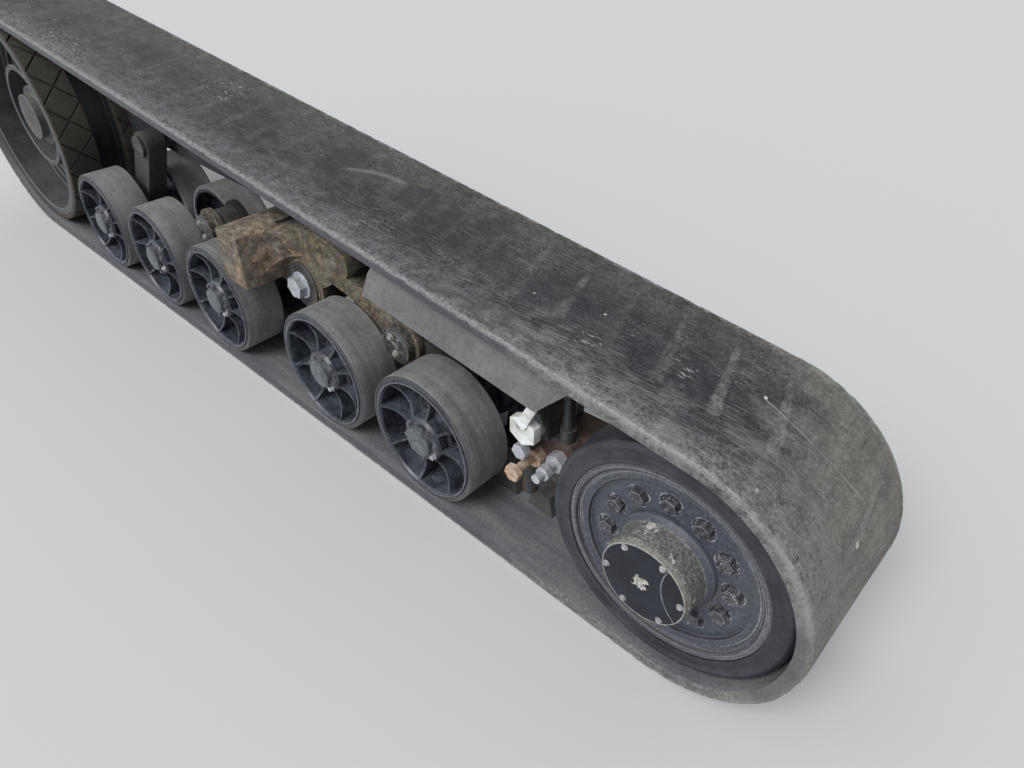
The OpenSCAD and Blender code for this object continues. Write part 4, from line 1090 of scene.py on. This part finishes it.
def make_lagging():
    """The drive wheel's rubber lagging, cut into blocks by two sets of slanting grooves."""
    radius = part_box("drive_wheel_lagging")[1].z - DRIVE.z
    bore = radius - 0.022
    bm = bmesh.new()
    for s in (-1, 1):
        low, high = sorted((s * LAG_BLOCKS[0], s * LAG_BLOCKS[1]))
        for corners in lagging_blocks(radius, low, high, 0.0028):
            top = [bm.verts.new((x, y, 0.0)) for x, y in corners]
            base = [bm.verts.new((x, y, -LAG_DEPTH)) for x, y in corners]
            bm.faces.new(top)
            bm.faces.new(base[::-1])
            for k in range(len(top)):
                bm.faces.new((top[k - 1], base[k - 1], base[k], top[k]))
    upper = [edge for edge in bm.edges if all(vert.co.z == 0.0 for vert in edge.verts)]
    bmesh.ops.bevel(bm, geom=upper, offset=0.0016, segments=1, profile=0.5, affect="EDGES",
                    clamp_overlap=True)
    stride = 2 * math.pi * radius / (LAG_TURN * 6)
    low = min(vert.co.x for vert in bm.verts)
    high = max(vert.co.x for vert in bm.verts)
    for k in range(math.ceil(low / stride), math.floor(high / stride) + 1):
        bmesh.ops.bisect_plane(bm, geom=bm.verts[:] + bm.edges[:] + bm.faces[:],
                               plane_co=(k * stride, 0, 0), plane_no=(1, 0, 0))
    for vert in bm.verts:
        angle, r = vert.co.x / radius, radius + vert.co.z
        vert.co = (DRIVE.x + r * math.cos(angle), vert.co.y, DRIVE.z + r * math.sin(angle))
    # The base ring's face between the blocks takes the second finish, the painted groove shade.
    for s in (-1, 1):
        near, far = s * LAG_BASE[0], s * LAG_BASE[1]
        floor = radius - 0.004
        turned(bm, (DRIVE.x, DRIVE.z), [(bore, near), (bore, far), (floor - 0.003, far),
                                        (floor, far - s * 0.002), (floor, near + s * 0.002),
                                        (floor - 0.003, near)], LAG_TURN * 6, (2, 5))
    mesh = mesh_of(bm, "drive_wheel_rubber")
    mesh.materials.append(drive_rubber)
    mesh.materials.append(shaded_groove_floor)
    new_piece("drive_wheel_rubber", mesh, None, "drive_wheel", "wheel_rubber", ["drive_wheel_lagging"])


make_tyres()
make_lagging()


# Bolts and screws

WASHER_SIDES = 20
HEAD_TAPER = 0.9


def make_bolt_circle():
    """Geometry tree: a circle of bolt heads on washers round an axle along Y, heads standing along Y."""
    tree = bpy.data.node_groups.new("bolt_circle", "GeometryNodeTree")
    inputs = {"Geometry": "NodeSocketGeometry", "Centre": VECTOR, "Circle Radius": FLOAT, "Turn": FLOAT,
              "Count": "NodeSocketInt", "Head Radius": FLOAT, "Head Height": FLOAT,
              "Sides": "NodeSocketInt", "Washer Radius": FLOAT, "Washer Height": FLOAT, "Hand": FLOAT,
              "Finish": "NodeSocketMaterial"}
    label_sockets(tree, inputs, {"Geometry": "NodeSocketGeometry"})
    plan = Plan(tree)
    source = plan.named("NodeGroupInput")
    angle = plan.take("GeometryNodeInputIndex") * (2 * math.pi) / source["Count"] + source["Turn"]
    side = plan.math("COSINE", angle) * source["Circle Radius"]
    rise = plan.math("SINE", angle) * source["Circle Radius"]
    spot = plan.take("ShaderNodeVectorMath", {0: source["Centre"], 1: plan.vector(side, 0.0, rise)})
    spots = plan.take("GeometryNodePoints", {"Count": source["Count"], "Position": spot})
    bolt = plan.add("GeometryNodeJoinGeometry")
    stack = (("Head", source["Sides"], source["Washer Height"]), ("Washer", WASHER_SIDES, 0.0))
    for part, sides, lift in stack:
        radius = source[f"{part} Radius"]
        cone = {"Vertices": sides, "Radius Top": radius * HEAD_TAPER, "Radius Bottom": radius,
                "Depth": source[f"{part} Height"]}
        solid = plan.take("GeometryNodeMeshCone", cone)
        lifted = {"Geometry": solid, "Translation": plan.vector(z=lift)}
        plan.feed(bolt.inputs[0], plan.take("GeometryNodeTransform", lifted))
    stand = plan.vector(source["Hand"] * (math.pi / 2))
    spin = plan.vector(z=plan.take("FunctionNodeRandomValue", {"Max": math.pi, "Seed": 7}, 1))
    heads = {"Points": spots, "Instance": Signal(plan, bolt.outputs[0]), "Rotation": stand}
    placed = plan.take("GeometryNodeInstanceOnPoints", heads)
    placed = plan.take("GeometryNodeRotateInstances", {"Instances": placed, "Rotation": spin})
    solid = plan.take("GeometryNodeRealizeInstances", {"Geometry": placed})
    done = plan.take("GeometryNodeSetMaterial", {"Geometry": solid, "Material": source["Finish"]})
    plan.feed(plan.add("NodeGroupOutput").inputs[0], done)
    return tree


bolt_circle = make_bolt_circle()


def grown(tree, values):
    """The mesh that a geometry tree makes from the named values."""
    seed = bpy.data.objects.new("seed", bpy.data.meshes.new("seed"))
    bpy.context.scene.collection.objects.link(seed)
    grow = seed.modifiers.new("grow", "NODES")
    grow.node_group = tree
    for item in tree.interface.items_tree:
        if item.in_out == "INPUT" and item.name in values:
            grow[item.identifier] = values[item.name]
    seed.update_tag()
    graph = bpy.context.evaluated_depsgraph_get()
    mesh = bpy.data.meshes.new_from_object(seed.evaluated_get(graph))
    seed.modifiers.clear()
    bpy.data.objects.remove(seed)
    return mesh


def bolted(name, spots, radius, count, head, washer, finish, body, slot):
    """One piece of bolts on a body: a circle round each spot, which is a centre, a turn and a hand; head is
    radius, height and sides, washer is radius and height."""
    bm = bmesh.new()
    for centre, turn, hand in spots:
        values = {"Centre": centre, "Circle Radius": radius, "Turn": turn, "Count": count,
                  "Head Radius": head[0], "Head Height": head[1], "Sides": head[2],
                  "Washer Radius": washer[0], "Washer Height": washer[1], "Hand": float(hand),
                  "Finish": finish}
        mesh = grown(bolt_circle, values)
        bm.from_mesh(mesh)
        bpy.data.meshes.remove(mesh)
    return new_piece(name, mesh_of(bm, name), finish, body, slot)


HUB_FACE = 0.178
HUB_BOLT_CIRCLE = 0.0495
HUB_BOLT_TURN = 0.3
PLUG_TURN = -math.radians(225)
COVER_SCREW_CIRCLE = 0.0787
COVER_SCREW_SINK = 0.0048
PIN_BOLT_CIRCLE = 0.0235
PIN_BOLT_TURN = -1.25


def make_bolts():
    cover_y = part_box("front_hub_cover")[0].y + COVER_SCREW_SINK
    cover = [((FRONT.x, cover_y, FRONT.z), math.radians(5), 1)]
    bolted("hub_cover_screws", cover, COVER_SCREW_CIRCLE, 6, (0.0058, 0.0034, 6), (0.0075, 0.001),
           screw_steel, "front_wheel", "zinc")
    hubs = []
    plugs = []
    for centre, spin in zip(ROLLERS, ROLLER_SPIN):
        turn = spin + HUB_BOLT_TURN
        hubs += [((centre.x, -hand * HUB_FACE, centre.z), turn, hand) for hand in (1, -1)]
        plugs.append(((centre.x, -HUB_FACE, centre.z), turn + PLUG_TURN, 1))
    bolted("roller_cap_bolts", hubs, HUB_BOLT_CIRCLE, 8, (0.0068, 0.0058, 6), (0.0088, 0.001), hub_bolt,
           "undercarriage", "dark_steel")
    bolted("roller_fill_plugs", plugs, HUB_BOLT_CIRCLE, 1, (0.0078, 0.0068, 6), (0.0095, 0.001), zinc,
           "undercarriage", "zinc")
    pins = []
    for node in ("front_bogie_pin", "rear_bogie_pin"):
        spot = middle(node)
        spot = (spot.x - 0.002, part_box(node)[0].y + 0.0002, spot.z + 0.003)
        pins.append((spot, PIN_BOLT_TURN, 1))
    bolted("bogie_pin_bolts", pins, PIN_BOLT_CIRCLE, 2, (0.0085, 0.005, 6), (0.0105, 0.0015), dusty_screw,
           "undercarriage", "zinc")


make_bolts()


# Floor and light


def make_floor():
    bm = bmesh.new()
    bmesh.ops.create_grid(bm, x_segments=1, y_segments=1, size=14.0)
    mesh = bpy.data.meshes.new("pale_floor")
    bm.to_mesh(mesh)
    bm.free()
    plan = Finish("pale_floor")
    plan.feed(plan.shader["Base Color"], (0.62, 0.63, 0.64))
    plan.feed(plan.shader["Roughness"], 0.9)
    mesh.materials.append(plan.made)
    floor = bpy.data.objects.new("pale_floor", mesh)
    bpy.context.scene.collection.objects.link(floor)


def make_light():
    world = bpy.data.worlds.new("soft_studio")
    bpy.context.scene.world = world
    world.use_nodes = True
    sky = world.node_tree.nodes["Background"]
    sky.inputs[0].default_value = (0.97, 0.985, 1.0, 1)
    sky.inputs[1].default_value = 0.52
    for name, turn, power, spread in (("key", (38, -14, 20), 1.8, 30), ("fill", (62, 10, -35), 0.5, 60)):
        data = bpy.data.lights.new(name, "SUN")
        data.energy = power
        data.angle = math.radians(spread)
        lamp = bpy.data.objects.new(name, data)
        lamp.rotation_euler = [math.radians(a) for a in turn]
        bpy.context.scene.collection.objects.link(lamp)
    bpy.context.scene.view_settings.view_transform = "Standard"


make_floor()
make_light()
